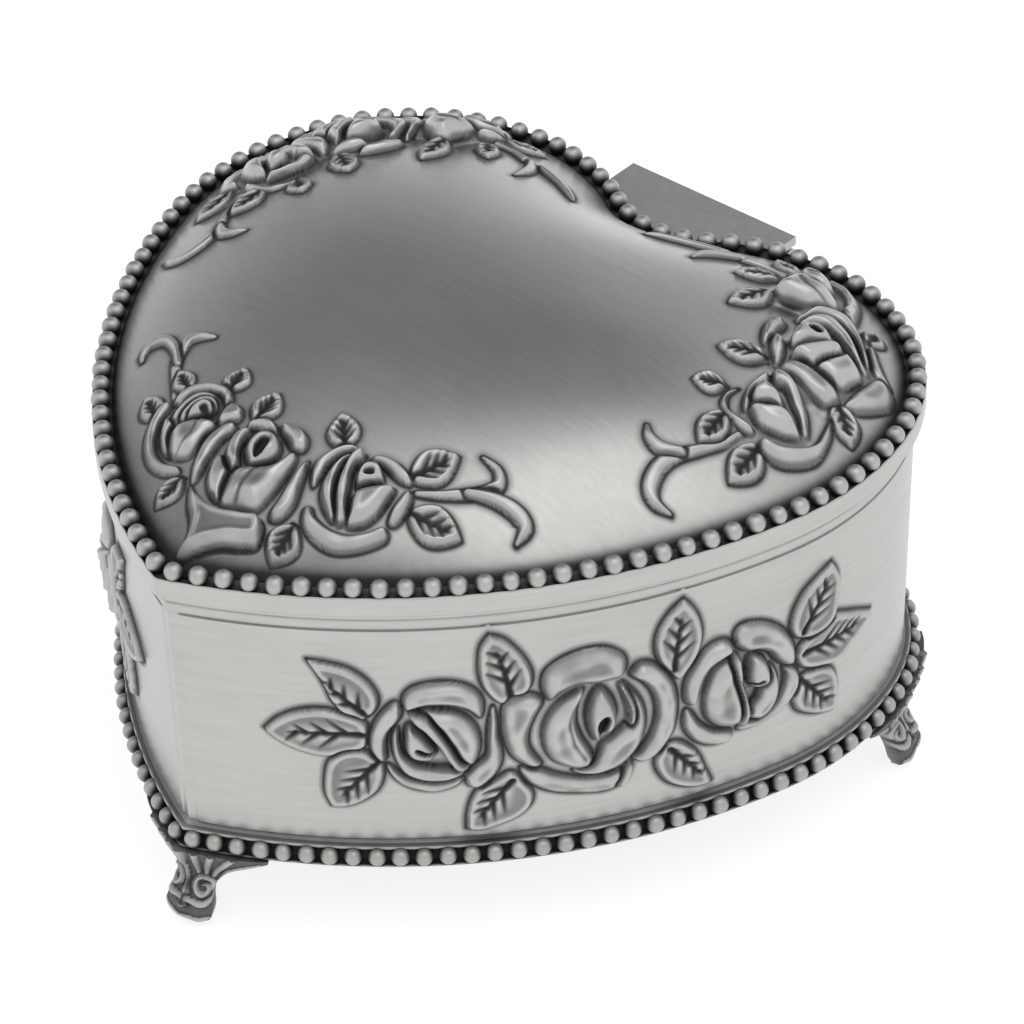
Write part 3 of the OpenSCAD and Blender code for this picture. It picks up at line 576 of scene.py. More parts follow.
# ---------------------------------------------------------------- the rose sprays
def wall_spray():
    """On each front wall: x runs along the wall from the heart's point, y is the height above the table."""
    r = Relief(7.5, 91.0, 14.9, 46.4, 0.17)
    petal, hollow, leaf = r.petal, r.hollow, r.leaf
    leaf("16.1,41.9 18.4,41.6 20.8,40.9 22.7,39.4 23.9,37.4 24.1,35.6 23.3,34 21.8,33.1 20.2,34.1 "
         "18.8,35.8 18.1,37.8 17.2,39.9", 5.8, vein="16.2,41.8 23.4,33.4", bend=0.5)
    leaf("10.6,31 12.2,32.8 14.6,34.2 17.4,34.7 20.2,34.2 22.4,33 22.9,31.2 22.6,29.4 20.4,28.2 17.6,27.6 "
         "14.8,28.2 12.4,29.4", 6.6, vein="10.6,31 22.8,31.1")
    leaf("18,19.8 17.3,21.8 17.4,24.4 17.9,26.6 19.2,28.1 21.4,28.7 23.3,27.9 24.4,26.2 24.2,24 23.4,22.2 "
         "21.6,20.7 19.8,19.9", 6, vein="18,19.9 24,27.2")
    leaf("33.7,15.9 33.8,18.2 34.4,20.6 35.6,22.6 37.4,23.5 39.2,24.2 40.5,22.8 41.6,20.8 41.4,18.8 "
         "39.8,17.2 37.6,16.3 35.6,15.7", 6.4, vein="33.9,16 39.6,23.4")
    leaf("63.9,16 61.8,16 59.8,16.7 58,18 56.9,19.8 56.5,21.8 57.4,23.8 59.6,23.8 61.3,22.2 62.3,20.4 "
         "63,18.4", 5.6, vein="63.8,16 58,23.6")
    leaf("88.6,29.8 86,31.4 83.6,32.7 81,33.8 78.2,33.2 75.8,31.8 75.3,30.2 76,28.4 78.4,27.2 81.4,26.4 "
         "84,27.4 86.4,28.7", 6.4, vein="88.2,29.9 75.6,30.4", pairs=4)
    leaf("80.5,41.9 78.4,41 76.2,39.6 74.8,37.4 74.3,34.8 75.2,33.2 77.2,32.5 79.6,32.7 81.1,34 81.6,36.6 "
         "81.7,39.4", 6.4, vein="80.6,41.8 75.8,33.2", bend=-0.4)
    leaf("81.7,18.9 79.4,19.5 77.2,20.6 75.4,22.2 74.9,24.4 75.6,26.6 77.6,27.2 79.8,26.6 81.4,25 82,22.6 "
         "82,20.4", 6, vein="81.6,19.1 75.8,26.8")
    leaf("37,45.1 36,43.4 35.7,40.8 35.9,38.2 36.8,36.2 38.2,34.8 40,35.4 41.6,36.6 41.9,38.6 41.2,40.8 "
         "40,42.8 38.6,44.4", 6, vein="37,45 39.4,35.2", bend=-0.3)
    leaf("60.1,45.1 58.4,43.7 57,41.6 56.5,39.2 56.9,37 58,35 59.4,33.4 60.8,34.8 62,36.8 62.5,39.2 "
         "62.1,41.6 61.2,43.6", 6, vein="60.1,45 58.8,34.6")
    # first rose
    r.heart = (29.6, 30.0)
    petal("27,34.9 26.9,36.6 28.2,38.1 31,38.7 33.8,38.2 35.6,36.8 36.2,34.8 35.8,32.8 34.8,33.8 33.2,34.9 "
          "30.4,35.4 28.4,35.1", 1.45, 0.12)
    petal("26.6,35.6 25.6,35.7 24,33.8 22.9,31.2 22.9,28.8 24,27.1 24.8,27.4 24.8,29.6 25.3,31.6 26.4,33.2 "
          "26.8,34.4", 1.3, 0.12)
    petal("37.2,34.4 37.7,32.4 37.8,29.8 38.2,27.6 38,25.4 37,23.6 35.4,22.4 34,22.8 33.7,24.4 34.8,25.8 "
          "36.2,27.2 36.4,29.4 36.6,31.8", 1.3, 0.1)
    petal("24.7,26.4 25.4,24.4 27.2,22.8 29.6,22.1 32,22.5 "
          "33.6,23.7 32.2,23.9 29.8,23.7 27.6,24.3 26,25.6", 1.15, 0.1)
    petal("25.6,31.8 25.4,29.6 25.7,27.4 26.7,25.5 28.6,24.3 30.8,24.1 33,24.7 34,25.6 32.4,26 30.2,26.1 "
          "28.2,26.8 26.9,28.4 26.4,30.4 26.2,32", 1.85, 0.12, level=0.35)
    petal("28.6,34.9 31.2,34.8 33.4,34.1 34.9,32.4 35.6,30.2 35.5,27.8 34.6,26.2 33.2,27.2 32,29.6 "
          "30.6,32.2", 2, level=0.5, edge=1.4)
    petal("27.6,34.7 29.6,34.3 31,32.2 32.2,29.8 33.2,27.4 34.4,26.1 32.8,26.1 31.6,27.8 30.6,30 29.2,32.2 "
          "28,33.6", 2.3, level=0.8, edge=0.7)
    petal("27.4,32.6 26.9,31 26.9,29.2 27.6,28 29,27.5 "
          "30.4,27.9 30.5,29 29.9,30.2 28.7,31.8", 2.15, level=0.6, edge=0.8)
    hollow("28.1,29.9 28.7,29.9 29.6,29.3 30.4,28.8 29.8,28.5 28.8,28.9 28.2,29.4", 1.1)
    # second rose, the largest
    r.heart = (49.2, 30.0)
    petal("40.2,24.6 40.8,22.6 42.6,20.9 45,19.8 48,19.1 50.6,18.8 52.6,19.6 53.2,21.4 52,21.9 49.4,21.6 "
          "46.8,22 44.4,23 42.2,24.4", 1.1, 0.1)
    petal("52,19.2 53.2,20.4 53.7,22.3 52.9,22.6 52.3,21.2 51.7,19.9", 1.35, level=0.5, edge=0.5)
    petal("43.5,34.6 42.9,36.4 43.3,38.6 45.2,40.2 48,41 50.6,40.7 52.6,39.2 53.1,37.3 52.3,36 49.8,35.8 "
          "47.2,36 45.4,35.4 44.2,34.4", 1.6, 0.14, edge=1.5)
    petal("38.6,34.8 40.4,35.8 42.4,35.4 43.1,34.2 42.2,32.2 41.4,30 41.4,27.6 42.6,25.2 42.6,24.5 41,24.8 "
          "39.2,26.6 38.3,29.4 38.1,32.4", 1.35, 0.1, edge=1.2)
    petal("53.4,35.9 54.6,37.3 56.4,36.8 58.2,34.6 59.2,31.8 59.4,28.8 58.9,25.8 57.4,23.6 55.4,22.3 "
          "53.6,23.1 54.6,24.4 56,26.4 56.6,29.2 56.2,32 55,34.2", 1.5, 0.1, edge=1.3)
    petal("46.4,23 48.2,22.3 50.6,22.2 52.8,23.2 54.5,25.2 55.3,27.8 55.1,30.6 54.1,33 52.6,35 52.8,33.2 "
          "53.3,31 53,29.2 51.6,27.8 50,26.6 49.3,25 48.4,23.6", 1.95, 0.1, level=0.45, edge=1.3)
    petal("47.8,35.2 45.8,34.6 44,32.8 43,30.4 43,27.8 43.9,25.4 45.8,23.9 47.8,23.7 48.8,24.6 48.4,26.2 "
          "47.5,28.2 46.9,30.6 "
          "47.1,33.2", 2.1, 0.12, level=0.5, edge=1.6, fold="46.4,34 45.9,31 46.4,28 47.8,25.2")
    petal("52.2,34.8 53,33.8 53.7,31.8 53.7,29.8 53.1,28.8 53.1,30.6 52.8,32.4", 2.2, level=0.9, edge=0.4)
    petal("49.7,35.2 50.8,34 51.5,32.2 51.7,30.4 51.2,29.1 50.1,28.4 49.2,27.2 48.5,28.4 48.1,30.2 "
          "48.1,32.2 48.7,34.2", 2.45, level=0.7, edge=0.9)
    hollow("49.9,31.9 49.2,31.3 49,30 49.2,28.6 49.5,27.4 49.9,28.5 50.4,29.6 50.7,30.8 50.4,31.7", 1.5)
    # third rose
    r.heart = (68.0, 30.0)
    petal("73.4,29.8 74.8,29.2 75.7,27.6 75.6,25.8 74.4,24 72.2,22.9 69.8,22.4 67.2,22.6 68,23.6 70.4,23.6 "
          "72.2,24.6 73.3,26.4 73.5,28.4", 1.15, 0.1)
    petal("60.4,28.3 60,26.8 60.4,24.8 61.8,22.8 63.8,21.6 65.8,21.6 66.5,22.6 65.6,23.5 63.8,24.2 "
          "62.2,25.8 61.2,27.6", 1.2, 0.1)
    petal("66.3,35.4 66.2,36.6 64.8,37.3 62.8,36.6 61.2,34.6 60.2,32.2 60.2,29.8 61.2,28.8 61.9,29.8 "
          "62.3,31.6 63.2,33.6 64.8,34.6", 1.45, 0.12)
    petal("66.6,37.4 67.6,38.5 69.8,38.1 72,36.8 73.9,34.7 75,32.2 74.8,30.2 73.6,29.9 72.2,31.2 71.2,32.8 "
          "69.6,33.9 67.8,34.5 66.7,35.8", 1.5, 0.12, edge=1.2)
    petal("68.2,24.6 69.6,23.6 71.2,24.2 72.3,25.8 72.6,27.8 72.2,29.8 71.5,31 70.8,29.6 70,28.4 69.4,27 "
          "68.3,25.8", 1.85, 0.1, level=0.45, edge=1.1)
    petal("65.8,34.4 64,33.2 62.9,31 62.6,28.4 63,26.2 64.4,24.5 66.2,23.9 67.8,24.5 68.2,26.2 67.8,28.6 "
          "67.1,31 66.9,33.2 66.6,34.6", 2.05, level=0.5, edge=1.5)
    petal("66,34.3 66.1,32.6 66.7,30.2 67.3,27.6 67.2,25.2 66.8,24 67.8,24.5 68.2,26.2 67.8,28.6 67.2,31 "
          "67.1,33 66.8,34.6", 2.3, level=1, edge=0.5)
    petal("69,33.8 70.2,33 71,31.4 71.1,29.9 70.4,28.9 "
          "69.4,28.6 68.5,29.2 68,30.4 68,32 68.3,33.2", 2.3, level=0.6, edge=0.8)
    hollow("69.6,30.5 70.1,29.9 69.9,29.1 69.2,28.9 68.5,29.4 68.3,30 68.9,30.3", 1.3)
    return r


def lid_front_spray():
    """At the lid's point, in the heart's own plan."""
    r = Relief(-31.0, 32.5, -62.6, -30.4, 0.15)
    petal, hollow, leaf, stem = r.petal, r.hollow, r.leaf, r.stem
    stem("18,-40.4,0.3 20.4,-38.7,0.5 22.8,-36.4,0.7 24.1,-34.8,0.8 24.4,-33.4,0.75 23.2,-32.3,0.55 "
         "21,-32.2,0.2")
    stem("22.4,-36.6,0.5 25.2,-35.1,0.8 27.8,-34.5,0.95 29.6,-35,0.85 29.9,-36.9,0.2")
    stem("-16.6,-43.8,0.3 -19.2,-41,0.5 -21.4,-38.2,0.8 -22.1,-36,0.95 -21.2,-34.9,0.8 -18.9,-34.3,0.25")
    stem("-20.6,-39,0.4 -23.2,-36.8,0.6 -25.6,-35.8,0.8 -27.4,-36.4,1 -27.6,-37.8,0.6 -26.8,-38.9,0.2")
    for width, vein in (
        (2.7, "-19.4,-40.2 -15.4,-42.4"), (3.7, "-10.7,-37.5 -10.2,-41.4"), (4, "-4.1,-39 -3.9,-43.6"),
        (3, "-21.2,-44.2 -16.6,-46.6"), (3.4, "-7.4,-57 -6.9,-52.6"), (3.9, "4.5,-37.7 8.2,-41.4"),
        (4.5, "19,-33.9 16.4,-39.8"), (4.3, "25.2,-40.9 18.6,-42.8"), (4.2, "9.8,-56.2 9.3,-51.2"),
    ):
        leaf(None, width, vein, full=0.48)
    # the petal that runs down to the point
    petal("-5.2,-53.3 -3.2,-54.2 0.2,-54.8 3.4,-54 5.4,-53.1 6.8,-53.8 7.4,-55.6 6.2,-56.8 3.8,-58.2 "
          "1.9,-60.2 0.9,-61.7 0,-61.6 -0.4,-59.6 -1.6,-57.4 -3.6,-55.6", 2.4, edge=1.3, soft=0, cup=0.45)
    # left rose
    r.heart = (-11.0, -44.8)
    petal("-17.2,-44.8 -17.7,-46.4 -16.8,-48.8 -15,-51 -12.6,-52.6 -9.8,-53.2 -7.8,-52.6 -8.4,-51.8 "
          "-10.6,-51.8 -12.8,-50.9 -14.6,-49.2 -15.7,-47 -15.8,-45.2 -16.4,-44.6", 1.2, 0.08)
    petal("-16.2,-44.4 -16.2,-42.9 -14.8,-41.4 -12.6,-40.8 -10.2,-40.9 -8.7,-42 -8.4,-43.4 -9.4,-43.2 "
          "-10.8,-42.2 -12.8,-42.2 -14.2,-42.9 -15,-44.4", 1.35, 0.1)
    petal("-8.7,-43.6 -8,-42.5 -6.4,-42.8 -5.7,-44 -6.6,-45.3 -8,-45.6 -8.6,-44.8", 1.4)
    petal("-15.2,-45.4 -15.1,-47.4 -14,-49.2 -12.2,-50.6 -10.4,-51 -11.6,-49.8 -12.8,-48 -13.4,-46.4 "
          "-14.3,-45.2", 1.6, 0.1, level=0.3)
    petal("-12.8,-47.4 -11.6,-46.3 -9.6,-45.5 -7.9,-45.8 -7.6,-48.2 -8.2,-50.4 -10,-51 -11.8,-50 "
          "-12.9,-48.6", 1.85, level=0.4, edge=1.2, fold="-10.2,-46.2 -9.6,-48.4 -9.8,-50.8")
    petal("-14.5,-46.6 -14.6,-44.6 -13.6,-43 -11.8,-42.3 -9.9,-42.7 -9,-43.8 -9.4,-45.2 -11,-46.2 "
          "-12.4,-47.2 -13.4,-47.2", 1.85, level=0.5, edge=0.9)
    petal("-13.2,-46.4 -13.1,-44.8 -12.2,-43.5 -10.8,-43.1 -9.6,-43.7 -9.3,-44.6 -10.2,-45.5 -11.6,-46.4 "
          "-12.4,-46.9", 2.05, level=0.9, edge=0.6)
    petal("-12.1,-46.3 -12.1,-45 -11.3,-44.1 -10.1,-44.1 "
          "-9.6,-44.8 -10.4,-45.6 -11.4,-46.2", 2.2, level=1.1, edge=0.5)
    hollow("-10.9,-44.6 -10.1,-44.5 -9.7,-45 -10.6,-45.6 -11.2,-45.4", 0.9, 0.3)
    # right rose
    r.heart = (13.2, -43.4)
    petal("8.9,-49.4 10,-51 12.4,-51.6 14.8,-51.1 17,-49.3 18.7,-46.8 18.4,-45.7 17.5,-45.8 16.5,-47.2 "
          "15,-48.6 13,-49.4 10.8,-49.4 9.6,-48.8", 1.2, 0.08)
    petal("9.4,-40.2 8,-40.8 6.8,-42.4 6.3,-44.2 6.8,-45.8 "
          "8,-46.8 8.3,-45.4 8,-43.8 8.4,-42 9.3,-40.9", 1.35, 0.1)
    petal("11.3,-40.5 12.2,-39.5 14.2,-39 16.2,-39.3 17,-40.1 15.8,-40.6 13.8,-40.6 12.2,-41", 1.35, 0.1)
    petal("17.2,-40.7 18.2,-41.2 18.8,-42.8 18.6,-44.5 17.8,-45 17.2,-44 17,-42.4", 1.35, 0.1)
    petal("10.6,-40.4 9.6,-40.8 8.8,-42.2 8.5,-44.4 9,-46.6 10.4,-48 12.4,-48.7 12.6,-48 11.2,-46.4 "
          "10,-44.4 9.8,-42.2 10.7,-41", 1.75, 0.1, level=0.35, edge=0.9)
    petal("12.6,-45 13.4,-43.6 14.8,-42.3 15.9,-41.6 16.3,-42.8 16.4,-45 15.8,-46.9 14.4,-48 13.5,-47.2 "
          "12.9,-46", 1.95, level=0.45, edge=1.2)
    petal("10.4,-40.6 11.1,-41.4 11,-42.8 11.7,-44.4 12.8,-46.2 13.8,-47.7 13.3,-48.5 12.3,-47.8 11,-46.2 "
          "10.1,-44.2 9.7,-42.2 9.8,-41", 2.1, level=0.7, edge=0.6)
    petal("11.5,-42.4 12.2,-41.3 13.4,-41 14.4,-41.8 "
          "13.8,-42.9 12.7,-44 11.9,-43.9", 2.15, level=0.6, edge=0.7)
    hollow("12.4,-42.5 13.1,-42 13.7,-42.3 13,-43.1 12.4,-43.3", 1, 0.3)
    # middle rose, over both
    r.heart = (0.0, -46.6)
    petal("-5.6,-44.9 -7,-45.7 -7.7,-47.6 -7.4,-49.8 -6.4,-51.8 -5.1,-53.1 -4.9,-51.6 -5.4,-49.4 "
          "-5.5,-47.2 -4.9,-45.8", 1.4, 0.08)
    petal("5.4,-44.7 6.2,-45.5 7.1,-47.6 7.9,-49.8 7.7,-51.8 "
          "6.6,-52.5 5.9,-51.8 5.7,-49.8 5.3,-47.2", 1.4, 0.08)
    petal("-0.7,-42.7 0.6,-42 2.4,-42 3.8,-42.7 4.2,-43.9 3.2,-44.6 1.6,-44.1 0.2,-43.5", 1.4, 0.1)
    petal("-4.3,-44 -3,-43 -1.4,-42.8 -0.1,-43.7 -1.4,-44.3 -2.8,-44.5 -3.8,-45", 1.4, 0.1)
    petal("-4.1,-48.4 -4.5,-50.2 -3.8,-52 -2.2,-53.4 -0.4,-53.8 "
          "-0.8,-52 -1.4,-50.6 -2.6,-49.8 -3.4,-49", 1.6, 0.1, level=0.3)
    petal("-3.5,-45.1 -4.4,-46 -4.4,-47.6 -3.7,-49 -2.6,-49.8 -1.2,-50.2 -1.1,-49.2 -2.2,-47.8 -2.7,-46.4 "
          "-2.8,-45.2", 1.8, 0.1, level=0.45, edge=0.8)
    petal("-1.3,-50.4 -0.6,-49.2 1,-48.4 2.4,-47.3 2.9,-45.6 3.7,-44.8 4.5,-45.8 4.9,-48.2 4.9,-51 "
          "4.3,-52.9 2.4,-53.7 0.5,-54.3 "
          "-0.4,-53.2 -1,-51.8", 2, level=0.45, edge=1.3, fold="1.4,-49 1.3,-51.2 2,-53.4")
    petal("-2.2,-46.4 -1.8,-45.1 -0.6,-44.3 0.8,-44.4 1.9,-45.3 2.2,-46.6 1.6,-47.8 0.2,-48.6 -1.2,-48.2 "
          "-2,-47.4", 2.25, level=0.6, edge=0.8)
    hollow("-0.6,-45.8 0.2,-45.4 0.8,-46.1 0.9,-47.3 0.3,-48.1 -0.4,-47.8 -0.8,-46.8", 1.3, 0.35)
    return r


def lid_side_spray():
    """On the right of the lid, in the heart's own plan. The left one is its mirror image."""
    r = Relief(2.5, 49.8, -24.5, 28.8, 0.15)
    petal, hollow, leaf, stem = r.petal, r.hollow, r.leaf, r.stem
    stem("39.2,-6.8,0.35 38.7,-10,0.5 37.3,-13.4,0.65 36,-16.2,0.85 35.7,-18.8,0.95 36.5,-21.2,0.95 "
         "38,-22.1,0.7 39.8,-21.6,0.2")
    stem("36.2,-15.2,0.6 34.4,-16.7,0.9 32.6,-16.6,0.65 31.4,-15.6,0.2")
    stem("24,20.6,0.4 20.4,20.8,0.5 17,19.8,0.7 14,19.6,0.8 10.4,18.4,0.85 7.6,16.6,0.7 5.6,15,0.2")
    stem("16.4,19.8,0.6 14.9,18,0.8 14.1,16,0.7 14,13.9,0.2")
    for width, vein in (
        (3.7, "24.2,8.1 25.9,15.2"), (3.9, "28.9,0.3 33.9,3.6"), (3.3, "30.5,-6.4 34,-4"),
        (3.7, "36.8,-12.9 36.3,-6.8"), (3.9, "41.9,-13.7 41.6,-7"), (3.7, "47.3,2.3 42.4,5.6"),
        (3, "36.6,21.2 37.6,17.8"), (3.2, "19.4,15.2 23.4,19.4"), (3.2, "18.2,24.6 23.6,22.6"),
    ):
        leaf(None, width, vein, full=0.5)
    r.mounds = [(27.8, 17.6), (36.2, 9.2), (38.8, -1.6)]
    # far rose
    r.heart = (26.6, 21.4)
    petal("34,19.6 32.6,22.6 30.6,25.2 27.8,26.6 25,26.6 "
          "25.6,25.4 28.2,24.8 30.2,22.8 31.6,20.4", 1.3, 0.08)
    petal("22.6,21.4 22.6,23.6 24.2,25.6 25.4,25.2 24.4,23.2 24,21", 1.3, 0.1)
    petal("24,21.8 23.8,18.8 24.2,16.4 25.8,15.8 27.8,16.8 29.6,18.2 30.8,19.8 30.2,21.4 28,22.4 "
          "26,22.2", 1.9, level=0.4, edge=1.4, fold="24.6,20.4 26.8,19.4 29.8,19.4")
    petal("22.6,24 23.6,22.6 25.4,22.2 27.4,22.6 27.6,24 25.8,25 23.8,25.2", 2, level=0.5, edge=0.8)
    hollow("23.4,24 24.4,23.2 25.6,23.4 24.8,24.2", 1, 0.3)
    # middle rose
    r.heart = (35.0, 11.4)
    petal("38.2,18.2 39.8,17 42,15.4 44,14.2 43.2,13.4 41.2,14 39.4,15.6 37.8,17.2", 1.1, 0.08)
    petal("41.8,13.2 43,14.2 44.8,13.6 45.8,11.6 45.4,9.2 "
          "44.2,7 42.8,6.4 42.2,8.6 42,11.2", 1.35, 0.08, edge=1.2)
    petal("28.5,11.8 28.7,9.4 29.8,7.2 31,6.2 31.2,7.6 30.5,9.6 30.1,11.4 29.4,12.2", 1.3, 0.1)
    petal("30.9,8.5 31.4,6.8 32.6,5.4 34,4.8 33.9,6.4 33,7.8 31.9,8.8", 1.4, 0.1)
    petal("29.4,14.2 29.8,17 31.2,19.2 33.4,19.8 36,18.5 38.4,16.4 40.4,14.4 38.6,15 36,16.7 33.2,17.6 "
          "31.2,16.4 30.3,14.4", 1.5, 0.1)
    petal("30.4,13.6 30.9,15.8 32.4,17.3 34.8,17.1 37.2,15.8 39.4,14.2 40.8,13.4 39.4,13.2 37.2,14 "
          "35.2,14.9 33.2,15.2 31.7,14.2 31.1,12.8", 1.75, 0.1, level=0.35, edge=0.8)
    petal("37.5,13.3 40,12.9 41.3,11.6 41.3,9.4 "
          "40.6,8.1 38.6,7.9 36.9,8.2 36.9,10.6", 1.85, level=0.4, edge=1.1)
    petal("34,7.4 34.1,9.4 34.7,11.4 35.6,13.2 36.9,13.6 "
          "37.5,12.4 37.1,10.4 36.6,8.2 35.3,7.6", 2, level=0.6, edge=0.8)
    petal("31.6,12.8 32.1,14 33.3,14.5 34.7,14.2 35.4,13.4 34.7,11.6 34.1,9.8 33.3,8.7 32.4,9 31.7,10.4 "
          "31.4,11.8", 2.15, level=0.6, edge=0.8)
    hollow("32.6,12.9 33.4,13.3 34.4,13 34,12 33,11.9", 1.1, 0.35)
    # near rose
    r.heart = (38.2, -0.8)
    petal("34.5,4.4 34.8,6 36.4,7.3 38.8,7.7 41,7.4 "
          "42.2,6.2 41.8,4.6 40,4.2 37.6,4.3 35.8,4.2", 1.45, 0.1, edge=1.1)
    petal("33.7,-1.7 34,-4 35.4,-5.6 37.4,-5.5 38.9,-5.4 "
          "39.2,-6.4 38,-7.1 36,-6.8 34.2,-5.8 33.5,-3.8", 1.25, 0.1)
    petal("43,3.4 44.2,2.4 45.2,0.4 46,-2.2 45.6,-4.4 44,-6.6 42,-7.5 40.6,-6.8 40.2,-5.6 42,-4.8 43.4,-3 "
          "44,-0.6 43.5,1.6", 1.4, 0.1, edge=1.1)
    petal("34.3,3.2 33.8,1.4 34.1,-0.8 35,-2.8 36.2,-4 "
          "36.3,-3 35.3,-1.4 34.9,0.4 35.2,2", 1.7, 0.1, level=0.35, edge=0.7)
    petal("34.4,3.2 35.8,4 37.8,3.8 40,2.8 41.8,1 42.8,-0.6 "
          "41.8,-0.6 40.4,0.4 38.8,1.3 37.2,2.2 35.8,2", 1.75, 0.1, level=0.4, edge=0.8)
    petal("36.3,-3.2 37.6,-1.6 39,-0.3 40.4,-0.2 41.8,-0.9 "
          "42.4,-1.6 41.6,-3.1 39.8,-4.1 38,-4.2", 1.95, level=0.45, edge=1.2)
    petal("35.3,1 35.1,-0.6 35.7,-2.1 36.8,-2 37.8,-0.9 38.4,0.3 37.6,1 36.4,1.4", 2.1, level=0.6, edge=0.7)
    hollow("35.9,0.8 36.8,0.9 37.4,0.4 36.8,-0.1 36.1,0.1", 1, 0.3)
    return r


# how far the wall's panel stands proud, then the wall's offset at one height and its lean
PANEL = 0.14
WALL_OFF, WALL_OFF_AT, WALL_LEAN = -1.0, 14.5, 0.0206


def wall_off(z):
    """How far the leaning wall stands from the outline at height z."""
    return WALL_OFF + WALL_LEAN * (z - WALL_OFF_AT)


def wall_place(side):
    """Wraps a relief on the right wall (side 1) or the left (-1), from the side's arc on to the lobe's."""
    a0 = side_start(-0.5)
    side_len = (-SIDE_T - a0) * SIDE_R

    def place(s, t, h):
        off = wall_off(t) + PANEL + h
        a = a0 + s / SIDE_R
        b = -SIDE_T + (s - side_len) / LOBE_R
        over = s > side_len
        x = np.where(over, LOBE_X + (LOBE_R + off) * np.cos(b), SC[0] + (SIDE_R + off) * np.cos(a))
        y = np.where(over, (LOBE_R + off) * np.sin(b), SC[1] + (SIDE_R + off) * np.sin(a))
        return np.stack([side * x, y + HY, t + 0 * x], -1)

    return place


def lid_place(side):
    """Lays a relief on the dome, as it is (side 1) or mirrored (-1)."""
    return lambda x, y, h: np.stack([side * x, y + HY, LID_EDGE + dome(x, y) + h], -1)


# ---------------------------------------------------------------- the casket
BODY_TOP = BOX["casket_body"][1][2]
RIM_TOP = BOX["base_rim"][1][2]
FOOT_H = BOX["base_rim"][0][2]
LID_Z = BOX["lid_shell"][0][2]
TRAY_LOW = BOX["inner_tray"][0][2]
# offsets of the wall's inner face, and of its outer face where it stands on the moulding
WALL_IN, WALL_FOOT_OFF = -2.3, -1.02


def build_wall():
    """The leaning wall. Its panel stands a hair proud, up to a line near the point and below the border."""
    # the panel's share of its full height at each point of the outline
    run = (-SIDE_T - side_start(-0.5)) * SIDE_R * SIDE_U
    lift = np.ones(len(outline(0)))
    lift[:TIP_STEPS] = 0
    lift[TIP_STEPS:TIP_STEPS + len(SIDE_U)] = smooth_step((run - 0.9) / 0.5)
    lift = np.minimum(lift, np.r_[0, lift[:0:-1]])
    rings = [ring3(WALL_IN, RIM_TOP), ring3(WALL_FOOT_OFF, RIM_TOP)]
    for z in [14.56, 14.7, *np.linspace(15.2, 45.6, 24), 45.95, 46.08]:
        base = ring3(wall_off(z), z)
        rings.append(base + (ring3(wall_off(z) + 1, z) - base) * (PANEL * lift)[:, None])
    border = [
        (wall_off(46.2) - 0.02, 46.2), (-0.3, 46.36), (-0.2, 46.6), (-0.12, 46.95), (-0.12, 47.35),
        (-0.18, 47.6), (-0.26, 47.74), (-0.2, 47.88), (-0.16, 48.0), (-0.15, 48.5), (-0.15, 48.85),
        (-0.22, BODY_TOP - 0.03), (-0.34, BODY_TOP), (-2.15, BODY_TOP), (WALL_IN, BODY_TOP - 0.15),
        (WALL_IN, RIM_TOP + 0.01),
    ]
    verts, faces = rings_mesh(rings + [ring3(o, z) for o, z in border])
    verts = verts.tolist()
    # three pillars carry the tray, and a rib ties the front one to the point
    pillars = (0.0, -53.2), (-45.2, 2.0), (45.2, 2.0)
    for x, y in pillars:
        cylinder(verts, faces, x, y + HY, RIM_TOP, TRAY_LOW, 2.8)
    base = len(verts)
    ends = -60.5, pillars[0][1]
    verts += [(x, y + HY, z) for x in (-1.2, 1.2) for y in ends for z in (RIM_TOP, TRAY_LOW)]
    block = (0, 1, 3, 2), (4, 6, 7, 5), (0, 4, 5, 1), (2, 3, 7, 6), (0, 2, 6, 4), (1, 5, 7, 3)
    faces += [tuple(base + i for i in f) for f in block]
    return add_mesh("casket_wall", verts, faces, "casket", 50)


def moulding(name, profile, r, body):
    return add_mesh(name, *rings_mesh([ring3(o, z) for o, z in rounded(profile, r)]), body, 40)


wall = build_wall()
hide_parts("casket_body")
RIM_PROFILE = [(o, FOOT_H + h) for o, h in (
    (WALL_IN, 0), (0.5, 0), (0.62, 0.16), (0.5, 0.36), (0.2, 0.42), (-0.3, 0.62), (-0.42, 1.3), (-0.3, 2.0),
    (0.0, 2.2), (0.08, 2.4), (-0.08, 2.6), (-0.6, 2.74), (-0.92, 2.98))]
rim = moulding("base_moulding", RIM_PROFILE + [(WALL_FOOT_OFF, RIM_TOP), (WALL_IN, RIM_TOP)], 0.06, "casket")
rim_beads = beads("base_beads", 0.22, FOOT_H + 1.4, 1.13, 112, "casket")
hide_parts("base_rim")

# ---------------------------------------------------------------- feet: two carved wings that meet on a ridge
# height above the table, and how far the front stands from the outline there
FOOT_LINE = points("0,0.4 0.6,1.2 1.4,1.6 2.2,1.6 3.2,1.1 4.6,0.2 6,-0.5 7.8,-0.3 9.6,0.5")
FOOT_LINE = np.vstack([FOOT_LINE, [FOOT_H, 1.25]])
# height, and how far a wing reaches along the wall there
WING = points("0,1.8 0.6,2.6 1.6,3.1 2.6,3.2 3.6,3 4.6,3 5.8,3.5 7.2,4.8 8.6,6.9 9.8,9.2 10.6,10.3")
WING = np.vstack([WING, [FOOT_H, 10.5]])


def foot_front(v):
    z = np.linspace(0, FOOT_H, 200)
    return np.interp(v, z, blur(np.interp(z, *FOOT_LINE.T)[:, None], 5)[:, 0])


